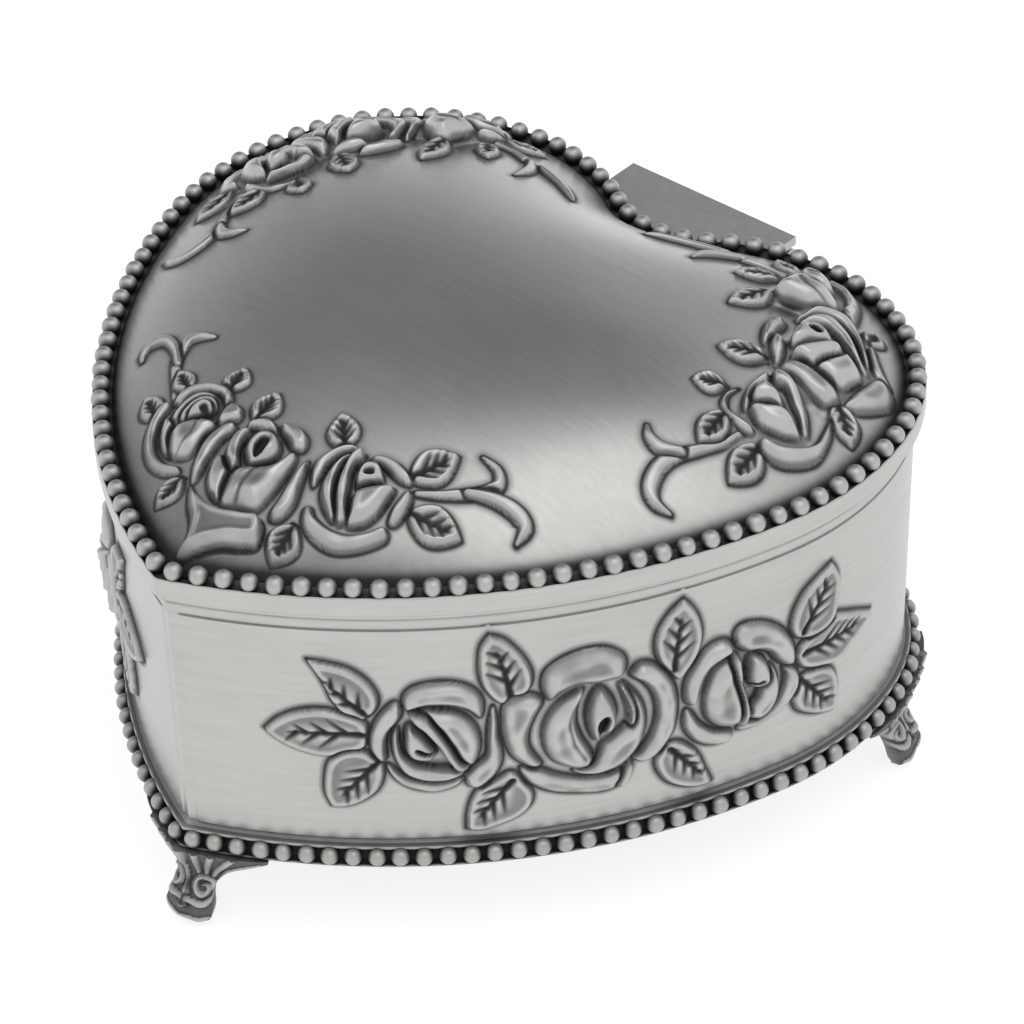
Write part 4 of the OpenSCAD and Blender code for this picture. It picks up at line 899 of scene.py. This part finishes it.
def foot_relief():
    """Ribs that fan out from a curl, in wing coordinates: x along the wall, y up."""
    r = Relief(-0.3, 11.1, -0.3, 11.7, 0.1)
    r.stem("3,5.4,0.35 4.6,7.4,0.45 6.6,9,0.5 9.4,10.5,0.35", 0.55, 0.3)
    r.stem("2.8,6.2,0.35 3.9,8.2,0.45 5.4,10.2,0.5 6.4,11.4,0.4", 0.6, 0.3)
    r.stem("2.3,6.6,0.35 2.7,8.6,0.45 3.4,10.6,0.5 3.7,11.5,0.4", 0.6, 0.3)
    r.stem("1.5,6.7,0.35 1.4,8.6,0.45 1.5,10.6,0.5 1.5,11.5,0.4", 0.6, 0.3)
    r.stem("0.15,11.5,0.45 0.1,8,0.4 0.1,5,0.45 0.1,3,0.5", 0.5, 0.3)
    r.stem("3.2,4.9,0.4 3,6.1,0.42 2,6.6,0.42 1.1,5.9,0.42 1.1,4.8,0.42 1.9,4.3,0.4 2.6,4.8,0.35 "
           "2.4,5.5,0.3 1.8,5.4,0.2", 0.75, 0.25)
    r.stem("0.5,3.6,0.35 1.6,3.3,0.45 2.6,3.5,0.4 3.3,4.1,0.25", 0.6, 0.3)
    r.stem("0.3,1.5,0.4 1.5,1.2,0.5 2.7,1.6,0.4", 0.45, 0.3)
    return r


FOOT_RELIEF = foot_relief()
FOOT_HEIGHTS = blur(FOOT_RELIEF.h, 0.7)
FOOT_SHADE_AND_PATINA = blur(FOOT_RELIEF.dark, 1.0)


def sample(field, u, v):
    """The feet's field at wing coordinates u and v, between its grid points."""
    fi = np.clip((u - FOOT_RELIEF.x[0]) / FOOT_RELIEF.step, 0, field.shape[0] - 1.001)
    fj = np.clip((v - FOOT_RELIEF.y[0]) / FOOT_RELIEF.step, 0, field.shape[1] - 1.001)
    i, j = fi.astype(int), fj.astype(int)
    a, b = fi - i, fj - j
    low = field[i, j] * (1 - a) * (1 - b) + field[i + 1, j] * a * (1 - b)
    return low + field[i, j + 1] * (1 - a) * b + field[i + 1, j + 1] * a * b


def build_foot(name, along, node):
    """along(u, off) gives plan points for signed distance u along the wall from the ridge."""
    nu, nv = 121, 100
    vs = np.linspace(0, FOOT_H - 0.02, nv)
    k = np.linspace(-1, 1, nu)
    k = (np.sign(k) * np.abs(k) ** 0.9)[:, None]
    uu = k * np.interp(vs, *WING.T)
    vv = np.broadcast_to(vs, uu.shape)
    work = sample(FOOT_HEIGHTS, np.abs(uu), vv)
    # painted shade and patina: darker in the ribs' grooves and over all the ground between the ribs, and
    # evenly darker on the back
    painted_shade_and_patina = np.clip(sample(FOOT_SHADE_AND_PATINA, np.abs(uu), vv) + 0.5 * (work < 0.15), 0, 0.8)
    # the wings thin out and turn in at their ends
    fall = 1 - 0.9 * np.abs(k) ** 8
    front = foot_front(vv) + 0.1 + work * 1.05 * fall - 0.5 * np.abs(k) ** 6
    back = foot_front(vv) - np.interp(vs, [0, 2, 5, FOOT_H], [1.2, 2.4, 2.0, 2.2])
    sheets = []
    for plan_x, plan_y in (along(uu, front), along(uu * 0.96, back)):
        sheets.append(np.stack([plan_x, plan_y + HY, vv], -1).reshape(-1, 3))
    ids = np.arange(nu * nv).reshape(nu, nv)
    behind = nu * nv
    a, b, c, d = ids[:-1, :-1].ravel(), ids[1:, :-1].ravel(), ids[1:, 1:].ravel(), ids[:-1, 1:].ravel()
    faces = np.c_[a, b, c, d].tolist() + (np.c_[a, d, c, b] + behind).tolist()
    # the four narrow sides between the front and the back
    for edge, turned in ((ids[:, 0], True), (ids[:, -1], False), (ids[0], False), (ids[-1], True)):
        for p, q in zip(edge[:-1], edge[1:]):
            side = (p, q, q + behind, p + behind)
            faces.append(side[::-1] if turned else side)
    attrs = {"painted_shade_and_patina": np.concatenate([painted_shade_and_patina.ravel(), np.full(nu * nv, 0.3)])}
    obj = add_mesh(name, np.vstack(sheets), faces, "casket", 40, attrs=attrs)
    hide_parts(node)
    return obj


def tip_along(u, off):
    """Along the walls on both sides of the point."""
    out = np.maximum(off, -6)
    reach = np.abs(u)
    a = side_start(0.0) + reach / SIDE_R
    x = SC[0] + (SIDE_R + out) * np.cos(a)
    y = SC[1] + (SIDE_R + out) * np.sin(a)
    # round the ridge over so that both wings meet
    offs = np.linspace(-6, 3, 91)
    ridge_y = np.interp(out, offs, [tip_of(o)[0] - tip_of(o)[1] for o in offs])
    low = smooth_step(reach / 0.8)
    return np.sign(u) * np.maximum(x * low, 0), y * low + ridge_y * (1 - low)


def lobe_along(side):
    """Along the right lobe (side 1) or the left (-1)."""
    def along(u, off):
        a = math.radians(20.9) + side * u / LOBE_R
        return side * (LOBE_X + (LOBE_R + off) * np.cos(a)), (LOBE_R + off) * np.sin(a)

    return along


feet = [
    build_foot("foot_point", tip_along, "foot_front"),
    build_foot("foot_lobe_right", lobe_along(1), "foot_right"),
    build_foot("foot_lobe_left", lobe_along(-1), "foot_left"),
]

# ---------------------------------------------------------------- the lid
LID_PROFILE = [(-2.1, LID_Z + 1.25), (-0.4, LID_Z), (0.98, LID_Z), (1.1, LID_Z + 0.12)]
LID_PROFILE += [(o, LID_EDGE + h) for o, h in (
    (1.1, -0.18), (0.98, 0), (0.86, -0.02), (0.74, -0.34), (-0.9, -0.42), (-1.3, -0.3), (-1.42, 0.05),
    (-1.9, -0.4))]
lid_frame = moulding("lid_frame", LID_PROFILE, 0.07, "lid")
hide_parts("lid_shell")
lid_beads = beads("lid_beads", 0.0, LID_EDGE + 0.6, 1.16, 104, "lid")
# where the rings of the dome and the pad close, in the heart's frame
CENTRE = np.array([0.0, -11.0])


def shrinking(off, count, power):
    """The outline, drawn in to CENTRE in count steps, and the scale of each step."""
    scales = 1 - np.linspace(0, 1, count) ** power
    scales[-1] = 0.004
    return CENTRE + (outline(off) - CENTRE) * scales[:, None, None], scales


def dome_painted_shade(x, y):
    """Painted shade on the dome: darker where it dives into the groove behind the beads, darker near the
    point, and a little darker the lower it lies.
    """
    h = dome(x, y)
    near_point = smooth_step((-y - 36) / 16)
    return 0.75 * bell(h, 0.75) + (0.14 + 0.36 * near_point) * np.exp(-h / 3.5)


def build_dome(name, off, drop, up):
    """The dome's skin, drop mm below the dome's height. It faces up, or down into the lid."""
    pts, _ = shrinking(off, 72, 1.5)
    x, y = pts[..., 0], pts[..., 1]
    z = LID_EDGE + dome(x, y) - drop
    eps = 0.05
    slope_x = (dome(x + eps, y) - dome(x - eps, y)) / (2 * eps)
    slope_y = (dome(x, y + eps) - dome(x, y - eps)) / (2 * eps)
    nrm = np.stack([-slope_x, -slope_y, np.ones_like(x)], -1)
    nrm /= np.linalg.norm(nrm, axis=2, keepdims=True)
    # a short step down into the groove round it
    rings = [raised(pts[0], LID_EDGE - drop - (0.5 if up else 0.0))]
    rings += [raised(p, zz) for p, zz in zip(pts, z)]
    normals = np.vstack([nrm[0], nrm.reshape(-1, 3)])
    verts, faces = rings_mesh(rings, False, cap_last=True)
    if not up:
        faces = [f[::-1] for f in faces]
        normals = -normals
    # painted shade: the step into the groove is black, and the dome takes its painted shade
    painted_shade_and_patina = np.concatenate([np.full(len(pts[0]), 1.0), dome_painted_shade(x, y).ravel()])
    return add_mesh(name, verts, faces, "lid", 180, normals, {"painted_shade_and_patina": painted_shade_and_patina})


lid_dome = build_dome("lid_dome", DOME_OFF, 0.0, True)
lid_inside = build_dome("lid_dome_inside", DOME_OFF - 0.75, 1.5, False)


def lid_work(name, relief, side):
    # the dome's painted shade carries on under the work
    painted_shade_and_patina = dome_painted_shade(relief.gx, relief.gy)
    return relief.build(name, "lid", lid_place(side), keep=1.5, work_darkening=0.36, extra=painted_shade_and_patina, flip=side < 0)


def wall_work(name, relief, side):
    return relief.build(name, "casket", wall_place(side), keep=1.1, work_darkening=0.28, flip=side < 0)


lid_side, wall_side = lid_side_spray(), wall_spray()
lid_sprays = [
    lid_work("rose_spray_point", lid_front_spray(), 1),
    lid_work("rose_spray_lid_right", lid_side, 1),
    lid_work("rose_spray_lid_left", lid_side, -1),
]
wall_sprays = [
    wall_work("rose_spray_wall_right", wall_side, 1),
    wall_work("rose_spray_wall_left", wall_side, -1),
]


# ---------------------------------------------------------------- inside: tray, velvet and the lid's pad
ROD = sum(BOX["stop_rod_guide"]) / 2
ROD_HOLE = 1.3


def bore(obj, z):
    """Cuts the stop rod's hole through a floor that starts at z."""
    verts, faces = [], []
    cylinder(verts, faces, ROD[0], ROD[1], z - 1, z + 3, ROD_HOLE, 40)
    mesh = bpy.data.meshes.new("cutter")
    mesh.from_pydata((np.array(verts) * MM).tolist(), [], faces)
    cutter = bpy.data.objects.new("cutter", mesh)
    bpy.context.scene.collection.objects.link(cutter)
    mod = obj.modifiers.new("bore", "BOOLEAN")
    mod.object = cutter
    mod.operation = "DIFFERENCE"
    mod.solver = "EXACT"
    deps = bpy.context.evaluated_depsgraph_get()
    new = bpy.data.meshes.new_from_object(obj.evaluated_get(deps))
    obj.modifiers.remove(mod)
    obj.data = new
    bpy.data.objects.remove(cutter)
    bpy.data.meshes.remove(mesh)


def tub(name, profile, floor_z, angle):
    """A heart-shaped tub. Its profile runs from under the floor, up the outside and down inside."""
    rings = [ring3(o, z, 2) for o, z in profile]
    obj = add_mesh(name, *rings_mesh(rings, False, cap_first=True, cap_last=True), "casket", angle)
    bore(obj, floor_z)
    return obj


TRAY_OFF, TRAY_T = -2.7, 1.0
TRAY_TOP = BOX["inner_tray"][1][2]
tray = tub("tray_shell", rounded([
    (TRAY_OFF - 0.4, TRAY_LOW), (TRAY_OFF, TRAY_LOW + 0.4), (TRAY_OFF, TRAY_TOP),
    (TRAY_OFF - TRAY_T, TRAY_TOP), (TRAY_OFF - TRAY_T, TRAY_LOW + 1.0)], 0.15, closed=False), TRAY_LOW, 40)
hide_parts("inner_tray")

# the velvet: its bottom, its hem, and the hollow where it turns from the wall to the floor
VELVET_LOW, VELVET_TOP = [corner[2] for corner in BOX["tray_lining"]]
VELVET_PROFILE = [(-0.3, VELVET_LOW + 0.02), (0, VELVET_LOW + 0.3)]
VELVET_PROFILE += [(o, VELVET_TOP + h) for o, h in (
    (0, -0.1), (-0.12, 0.06), (-0.45, 0.1), (-0.74, -0.12), (-0.85, -0.5))]
VELVET_PROFILE += [(o, VELVET_LOW + 0.8 + h) for o, h in (
    (-0.85, 1.2), (-1.0, 0.55), (-1.4, 0.2), (-2.0, 0.1), (-3.0, 0.06))]
VELVET_OFF = TRAY_OFF - TRAY_T - 0.02
tray_velvet = tub("tray_velvet", [(VELVET_OFF + o, z) for o, z in VELVET_PROFILE], VELVET_LOW, 60)
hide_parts("tray_lining")

# the pad's offset, and the spacing of its seams along x and y
PAD_OFF, PAD_QUILT = -2.5, 11.0


def build_pad():
    """Quilted velvet pad in the lid. Its face looks down when the lid is shut."""
    low, high = [corner[2] for corner in BOX["lid_lining"]]
    pts, scales = shrinking(PAD_OFF, 90, 1.35)
    x, y = pts[..., 0], pts[..., 1]
    inset = (1 - scales)[:, None] * np.hypot(x[0] - CENTRE[0], y[0] - CENTRE[1])
    puff = np.sqrt(1 - (1 - np.clip(inset / 2.4, 0, 1)) ** 2)
    # distances to the two families of seams, which cross in diamonds
    a, b = (x + y) / PAD_QUILT, (x - y) / PAD_QUILT
    da, db = np.abs(a - np.round(a)) * PAD_QUILT / 1.414, np.abs(b - np.round(b)) * PAD_QUILT / 1.414
    seam = 0.42 * bell(np.minimum(da, db), 0.7) + 0.35 * bell(np.hypot(da, db), 1.1)
    z = np.maximum(low + 0.55 - 0.75 * puff + seam * puff, low - 0.22)
    rings = [raised(pts[0], high), raised(pts[0], high - 0.12)]
    rings += [raised(p, zz) for p, zz in zip(pts, z)]
    verts, faces = rings_mesh(rings, False, cap_first=True, cap_last=True)
    return add_mesh("lid_velvet_pad", verts, [f[::-1] for f in faces], "lid", 60)


lid_pad = build_pad()
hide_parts("lid_lining")

# ---------------------------------------------------------------- the tune's pins on the cylinder
PIN_ROWS, PIN_SIDES = 18, 8
# distance from the drum's surface, and half-width there
PIN_PROFILE = (-0.1, 0.11), (0.24, 0.11), (0.28, 0.08)


def build_pins():
    low, high = BOX["cylinder_drum"]
    drum_r = (high[2] - low[2]) / 2
    centre = (low + high) / 2
    pitch = (high[0] - low[0] - 1.0) / PIN_ROWS
    verts, faces = [], []
    for row in range(PIN_ROWS):
        x = low[0] + 0.5 + pitch * (row + 0.5)
        for a in np.sort(rng.uniform(0, 2 * math.pi, rng.integers(9, 15))):
            base = len(verts)
            ca, sa = math.cos(a), math.sin(a)
            for out, w in PIN_PROFILE:
                r = drum_r + out
                for i in range(PIN_SIDES):
                    t = 2 * math.pi * i / PIN_SIDES
                    u, v = w * math.cos(t), w * math.sin(t)
                    verts.append((x + u, centre[1] + r * ca - v * sa, centre[2] + r * sa + v * ca))
            for k in (base, base + PIN_SIDES):
                for i in range(PIN_SIDES):
                    j = (i + 1) % PIN_SIDES
                    faces.append((k + i, k + j, k + PIN_SIDES + j, k + PIN_SIDES + i))
            faces.append(tuple(base + 2 * PIN_SIDES + i for i in range(PIN_SIDES)))
    obj = add_mesh("tune_pins", verts, faces, "cylinder", 40)
    bm = bmesh.new()
    bm.from_mesh(obj.data)
    bmesh.ops.recalc_face_normals(bm, faces=bm.faces)
    bm.to_mesh(obj.data)
    bm.free()
    return obj


pins = build_pins()


# ---------------------------------------------------------------- finishes
def new_material(name):
    m = bpy.data.materials.new(name)
    m.use_nodes = True
    nt = m.node_tree
    nt.nodes.clear()
    out = nt.nodes.new("ShaderNodeOutputMaterial")
    bsdf = nt.nodes.new("ShaderNodeBsdfPrincipled")
    nt.links.new(bsdf.outputs[0], out.inputs["Surface"])
    return m, nt, bsdf


def feed(value, socket):
    """Links an output to the socket, or sets the socket to a number."""
    if isinstance(value, bpy.types.NodeSocket):
        value.id_data.links.new(value, socket)
    else:
        socket.default_value = value


def node(nt, kind, inputs=(), **settings):
    n = nt.nodes.new(kind)
    for key, value in settings.items():
        setattr(n, key, value)
    for key, value in dict(inputs).items():
        feed(value, n.inputs[key])
    return n


def maths(op, a, b=None, clamp=False):
    """A Math node, in the tree that a or b comes from."""
    nt = (a if isinstance(a, bpy.types.NodeSocket) else b).id_data
    inputs = {0: a} if b is None else {0: a, 1: b}
    return node(nt, "ShaderNodeMath", inputs, operation=op, use_clamp=clamp).outputs[0]


def add(a, b, clamp=False):
    return maths("ADD", a, b, clamp)


def sub(a, b, clamp=False):
    return maths("SUBTRACT", a, b, clamp)


def mul(a, b, clamp=False):
    return maths("MULTIPLY", a, b, clamp)


def ramp(fac, stops):
    """Greys at the stops, and between them."""
    n = node(fac.id_data, "ShaderNodeValToRGB", {0: fac})
    el = n.color_ramp.elements
    while len(el) < len(stops):
        el.new(0.5)
    for e, (place, grey) in zip(el, stops):
        e.position = place
        e.color = (grey, grey, grey, 1)
    return n.outputs[0]


def noise(vec, scale, detail=3.0, rough=0.5):
    inputs = {"Vector": vec, "Scale": scale, "Detail": detail, "Roughness": rough}
    return node(vec.id_data, "ShaderNodeTexNoise", inputs).outputs[0]


def mapped(vec, scale):
    return node(vec.id_data, "ShaderNodeMapping", {"Vector": vec, "Scale": scale}).outputs[0]


def attribute(nt, name):
    return node(nt, "ShaderNodeAttribute", attribute_name=name).outputs["Fac"]


def shaded(nt, color, value):
    return node(nt, "ShaderNodeHueSaturation", {"Color": (*color, 1), "Value": value}).outputs[0]


def pewter(name, ao_mm, ao_pow, light=(0.5, 0.492, 0.48), rough=0.36, with_shade_and_patina=False, grain=(90, 1500, 900)):
    """Antique pewter: pale brushed metal, black in its corners and hollows, partly patina left where a cloth
    can't reach and partly painted shade. ao_mm and ao_pow say how far from corners that black reaches and how
    much. Some pieces also read attributes of painted shade and patina, and of worked relief."""
    m, nt, bsdf = new_material(name)
    vec = node(nt, "ShaderNodeTexCoord").outputs["Object"]
    # painted shade and patina: black gathers in corners by ambient occlusion
    ao = node(nt, "ShaderNodeAmbientOcclusion", {"Distance": ao_mm * MM}, samples=12)
    cover = mul(sub(1.0, ao.outputs["AO"], True), ao_pow, True)
    if with_shade_and_patina:
        cover = maths("MAXIMUM", cover, attribute(nt, "painted_shade_and_patina"))
    uneven = mul(sub(noise(vec, 420.0, 4.0, 0.6), 0.5), 0.3)
    cover = add(cover, mul(uneven, add(cover, 0.12)), True)
    if with_shade_and_patina:
        # relief wears in patches, and its brushing is fainter
        worked = attribute(nt, "worked")
        cover = add(cover, mul(worked, mul(sub(noise(vec, 260.0), 0.45), 0.22)), True)
        calm = sub(1.0, mul(worked, 0.85))
    keep = maths("POWER", sub(1.0, cover, True), 2.2)
    brushed = noise(mapped(vec, grain), 1.0, 4.0, 0.7)
    cloud = noise(vec, 55.0, 3.0, 0.55)
    if with_shade_and_patina:
        brushed = add(0.5, mul(sub(brushed, 0.5), calm))
    tone = add(add(mul(brushed, 0.26), mul(cloud, 0.16)), 0.79)
    col = node(nt, "ShaderNodeMix", {0: keep}, data_type="RGBA")
    feed((*BLACK, 1), col.inputs[6])
    feed(shaded(nt, light, tone), col.inputs[7])
    feed(col.outputs[2], bsdf.inputs["Base Color"])
    feed(add(0.5, mul(keep, 0.5), True), bsdf.inputs["Metallic"])
    r = add(rough - 0.06, mul(cloud, 0.12))
    if with_shade_and_patina:
        r = add(r, mul(worked, 0.04))
    feed(add(r, mul(sub(1.0, keep), 0.3), True), bsdf.inputs["Roughness"])
    fine = noise(mapped(vec, tuple(2 * g for g in grain)), 1.0, 3.0, 0.6)
    strength = mul(calm, 0.12) if with_shade_and_patina else 0.12
    bump = node(nt, "ShaderNodeBump", {"Strength": strength, "Distance": 0.04 * MM, "Height": fine})
    feed(bump.outputs[0], bsdf.inputs["Normal"])
    return m


def plain(name, color, metallic, rough, grain, bevel_mm=0.0, bump_mm=0.0, sheen=0.0):
    """A finish with fine unevenness, and rounded-looking edges where bevel_mm is set. grain is the scale of
    the unevenness, or its three scales where it is drawn out into streaks."""
    m, nt, bsdf = new_material(name)
    vec = node(nt, "ShaderNodeTexCoord").outputs["Object"]
    streaks = isinstance(grain, tuple)
    uneven = noise(mapped(vec, grain), 1.0, 4.0, 0.6) if streaks else noise(vec, grain, 4.0, 0.6)
    feed(shaded(nt, color, add(mul(uneven, 0.3), 0.85)), bsdf.inputs["Base Color"])
    bsdf.inputs["Metallic"].default_value = metallic
    if sheen:
        bsdf.inputs["Sheen Weight"].default_value = sheen
        bsdf.inputs["Sheen Roughness"].default_value = 0.45
        bsdf.inputs["Sheen Tint"].default_value = (1.0, 0.45, 0.5, 1)
    feed(add(mul(uneven, 0.06), rough - 0.03, True), bsdf.inputs["Roughness"])
    normal = None
    if bevel_mm:
        normal = node(nt, "ShaderNodeBevel", {"Radius": bevel_mm * MM}, samples=4).outputs[0]
    if bump_mm:
        inputs = {"Strength": 0.6, "Distance": bump_mm * MM, "Height": uneven}
        if normal:
            inputs["Normal"] = normal
        normal = node(nt, "ShaderNodeBump", inputs).outputs[0]
    if normal:
        feed(normal, bsdf.inputs["Normal"])
    return m


BLACK = (0.014, 0.013, 0.012)
# brushing that runs round the box
ROUND_GRAIN = (90, 90, 1500)
SMOOTH_PEWTER = pewter("pewter_plain", ao_mm=2.0, ao_pow=1.2, grain=ROUND_GRAIN)
# painted shade and patina: a copy of the pewter that gathers deeper black in the moulding's cove
MOULDING_PEWTER_SHADED = pewter("pewter_moulding_shaded", ao_mm=3.2, ao_pow=1.9, grain=ROUND_GRAIN)
WALL_PEWTER = pewter("pewter_wall", ao_mm=1.0, ao_pow=0.75, with_shade_and_patina=True, grain=ROUND_GRAIN)
LID_PEWTER = pewter("pewter_lid", ao_mm=1.0, ao_pow=0.5, rough=0.25, with_shade_and_patina=True)
FOOT_PEWTER = pewter("pewter_feet", ao_mm=1.6, ao_pow=1.1, rough=0.4, with_shade_and_patina=True)
# painted shade: darker copies of the pewter for the lid's beads and, darker still, the base's beads
BEAD_PEWTER_SHADED = pewter("pewter_beads_shaded", ao_mm=1.6, ao_pow=1.5, light=(0.46, 0.452, 0.44), rough=0.4)
RIM_BEAD_PEWTER_SHADED = pewter("pewter_rim_beads_shaded", ao_mm=1.8, ao_pow=1.8, light=(0.4, 0.392, 0.38))
FINISH = {"antique_pewter": SMOOTH_PEWTER}
# colour, metallic, roughness, grain, bevel, bump
for slot, *look in (
    ("hinge_metal", (0.47, 0.465, 0.455), 0.85, 0.42, 900, 0.12, 0.01),
    ("black_plate", (0.018, 0.018, 0.02), 0.0, 0.5, 1500, 0.15, 0.02),
    ("velvet", (0.16, 0.008, 0.022), 0.0, 0.95, 1800, 0.0, 0.12, 1.0),
    ("tray_board", (0.02, 0.02, 0.021), 0.0, 0.6, 1400, 0.12, 0.02),
    ("gold_plate", (0.78, 0.55, 0.25), 1.0, 0.33, 700, 0.14, 0.015),
    ("brass", (0.82, 0.6, 0.29), 1.0, 0.24, (300, 2600, 300), 0.08, 0.004),
    ("nickel_steel", (0.62, 0.61, 0.59), 1.0, 0.26, (300, 300, 2200), 0.08, 0.004),
    ("comb_steel", (0.5, 0.505, 0.51), 1.0, 0.3, (2600, 150, 600), 0.05, 0.006),
    ("spring_steel", (0.1, 0.16, 0.34), 1.0, 0.25, 600),
    ("screw_steel", (0.55, 0.55, 0.54), 1.0, 0.28, 1200, 0.08),
    ("ivory_plastic", (0.62, 0.58, 0.46), 0.0, 0.35, 500, 0.06),
):
    FINISH[slot] = plain(slot, *look)


def paint(material, *pieces):
    for obj in pieces:
        obj.data.materials.clear()
        obj.data.materials.append(material)


for part in frame["record"]["subparts"]:
    paint(FINISH[part["material_slot"]], frame["nodes"][part["node"]])
paint(SMOOTH_PEWTER, lid_frame, lid_inside)
paint(MOULDING_PEWTER_SHADED, rim)
paint(WALL_PEWTER, wall, *wall_sprays)
paint(LID_PEWTER, lid_dome, *lid_sprays)
paint(FOOT_PEWTER, *feet)
paint(RIM_BEAD_PEWTER_SHADED, rim_beads)
paint(BEAD_PEWTER_SHADED, lid_beads)
paint(FINISH["tray_board"], tray)
paint(FINISH["velvet"], tray_velvet, lid_pad)
paint(FINISH["nickel_steel"], pins)

# ---------------------------------------------------------------- floor, light and camera, in metres
FLOOR_HALF = 4.0
floor_mesh = bpy.data.meshes.new("floor")
corners = [(x * FLOOR_HALF, y * FLOOR_HALF, 0) for x, y in ((-1, -1), (1, -1), (1, 1), (-1, 1))]
floor_mesh.from_pydata(corners, [], [(0, 1, 2, 3)])
floor = bpy.data.objects.new("floor", floor_mesh)
bpy.context.scene.collection.objects.link(floor)
floor_material, _, bsdf = new_material("floor")
bsdf.inputs["Base Color"].default_value = (0.3, 0.3, 0.3, 1)
bsdf.inputs["Roughness"].default_value = 0.9
bsdf.inputs["Emission Color"].default_value = (1, 1, 1, 1)
bsdf.inputs["Emission Strength"].default_value = 0.82
floor_mesh.materials.append(floor_material)

world = bpy.data.worlds.new("studio")
bpy.context.scene.world = world
world.use_nodes = True
sky = world.node_tree
sky.nodes.clear()
coord = sky.nodes.new("ShaderNodeTexCoord")


def lobe(toward, stops):
    """Brightness by how many degrees a direction lies away from one."""
    inputs = {0: coord.outputs["Generated"], 1: (np.array(toward) / np.linalg.norm(toward)).tolist()}
    dot = node(sky, "ShaderNodeVectorMath", inputs, operation="DOT_PRODUCT")
    away = mul(maths("ARCCOSINE", dot.outputs["Value"]), 1 / math.pi)
    return ramp(away, [(degrees / 180, grey) for degrees, grey in stops])


# a dark ceiling card behind the box, which the top of the lid mirrors, in a white room
high = lobe((-0.30, 0.47, 0.83), [(0, 0.29), (16, 0.27), (20, 0.86), (30, 0.98)])
low = lobe((-0.66, 0.44, 0.60), [(0, 0.29), (14, 0.31), (30, 0.55), (48, 1.0)])
room = node(sky, "ShaderNodeMix", {0: 1.0}, data_type="RGBA", blend_type="DARKEN")
feed(high, room.inputs[6])
feed(low, room.inputs[7])
background = node(sky, "ShaderNodeBackground", {0: room.outputs[2], 1: 1.0})
node(sky, "ShaderNodeOutputWorld", {0: background.outputs[0]})

KEY_AT, KEY_AIM = Vector((0.30, -0.05, 0.85)), Vector((0, 0, 0.03))
key_data = bpy.data.lights.new("key", "AREA")
key_data.shape = "RECTANGLE"
key_data.size, key_data.size_y = 0.8, 0.6
key_data.energy = 0.9
key = bpy.data.objects.new("key", key_data)
key.location = KEY_AT
key.rotation_euler = (KEY_AIM - KEY_AT).to_track_quat("-Z", "Y").to_euler()
bpy.context.scene.collection.objects.link(key)

TARGET, DISTANCE, ROLL = np.array([0.0239, -0.01614, 0.0525]), 0.5969, math.radians(-1.77)
back = VIEW / np.linalg.norm(VIEW)
right = np.cross([0, 0, 1], back)
right /= np.linalg.norm(right)
up = np.cross(back, right)
axes = (
    math.cos(ROLL) * right + math.sin(ROLL) * up,
    -math.sin(ROLL) * right + math.cos(ROLL) * up,
    back,
    TARGET + back * DISTANCE,
)
cam_data = bpy.data.cameras.new("camera")
cam_data.sensor_width = 36.0
cam_data.lens = 183.56
cam_data.clip_start = 0.01
cam = bpy.data.objects.new("camera", cam_data)
bpy.context.scene.collection.objects.link(cam)
cam.matrix_world = Matrix(np.vstack([np.array(axes).T, [0, 0, 0, 1]]).tolist())
bpy.context.scene.camera = cam
bpy.context.scene.view_settings.view_transform = "Standard"
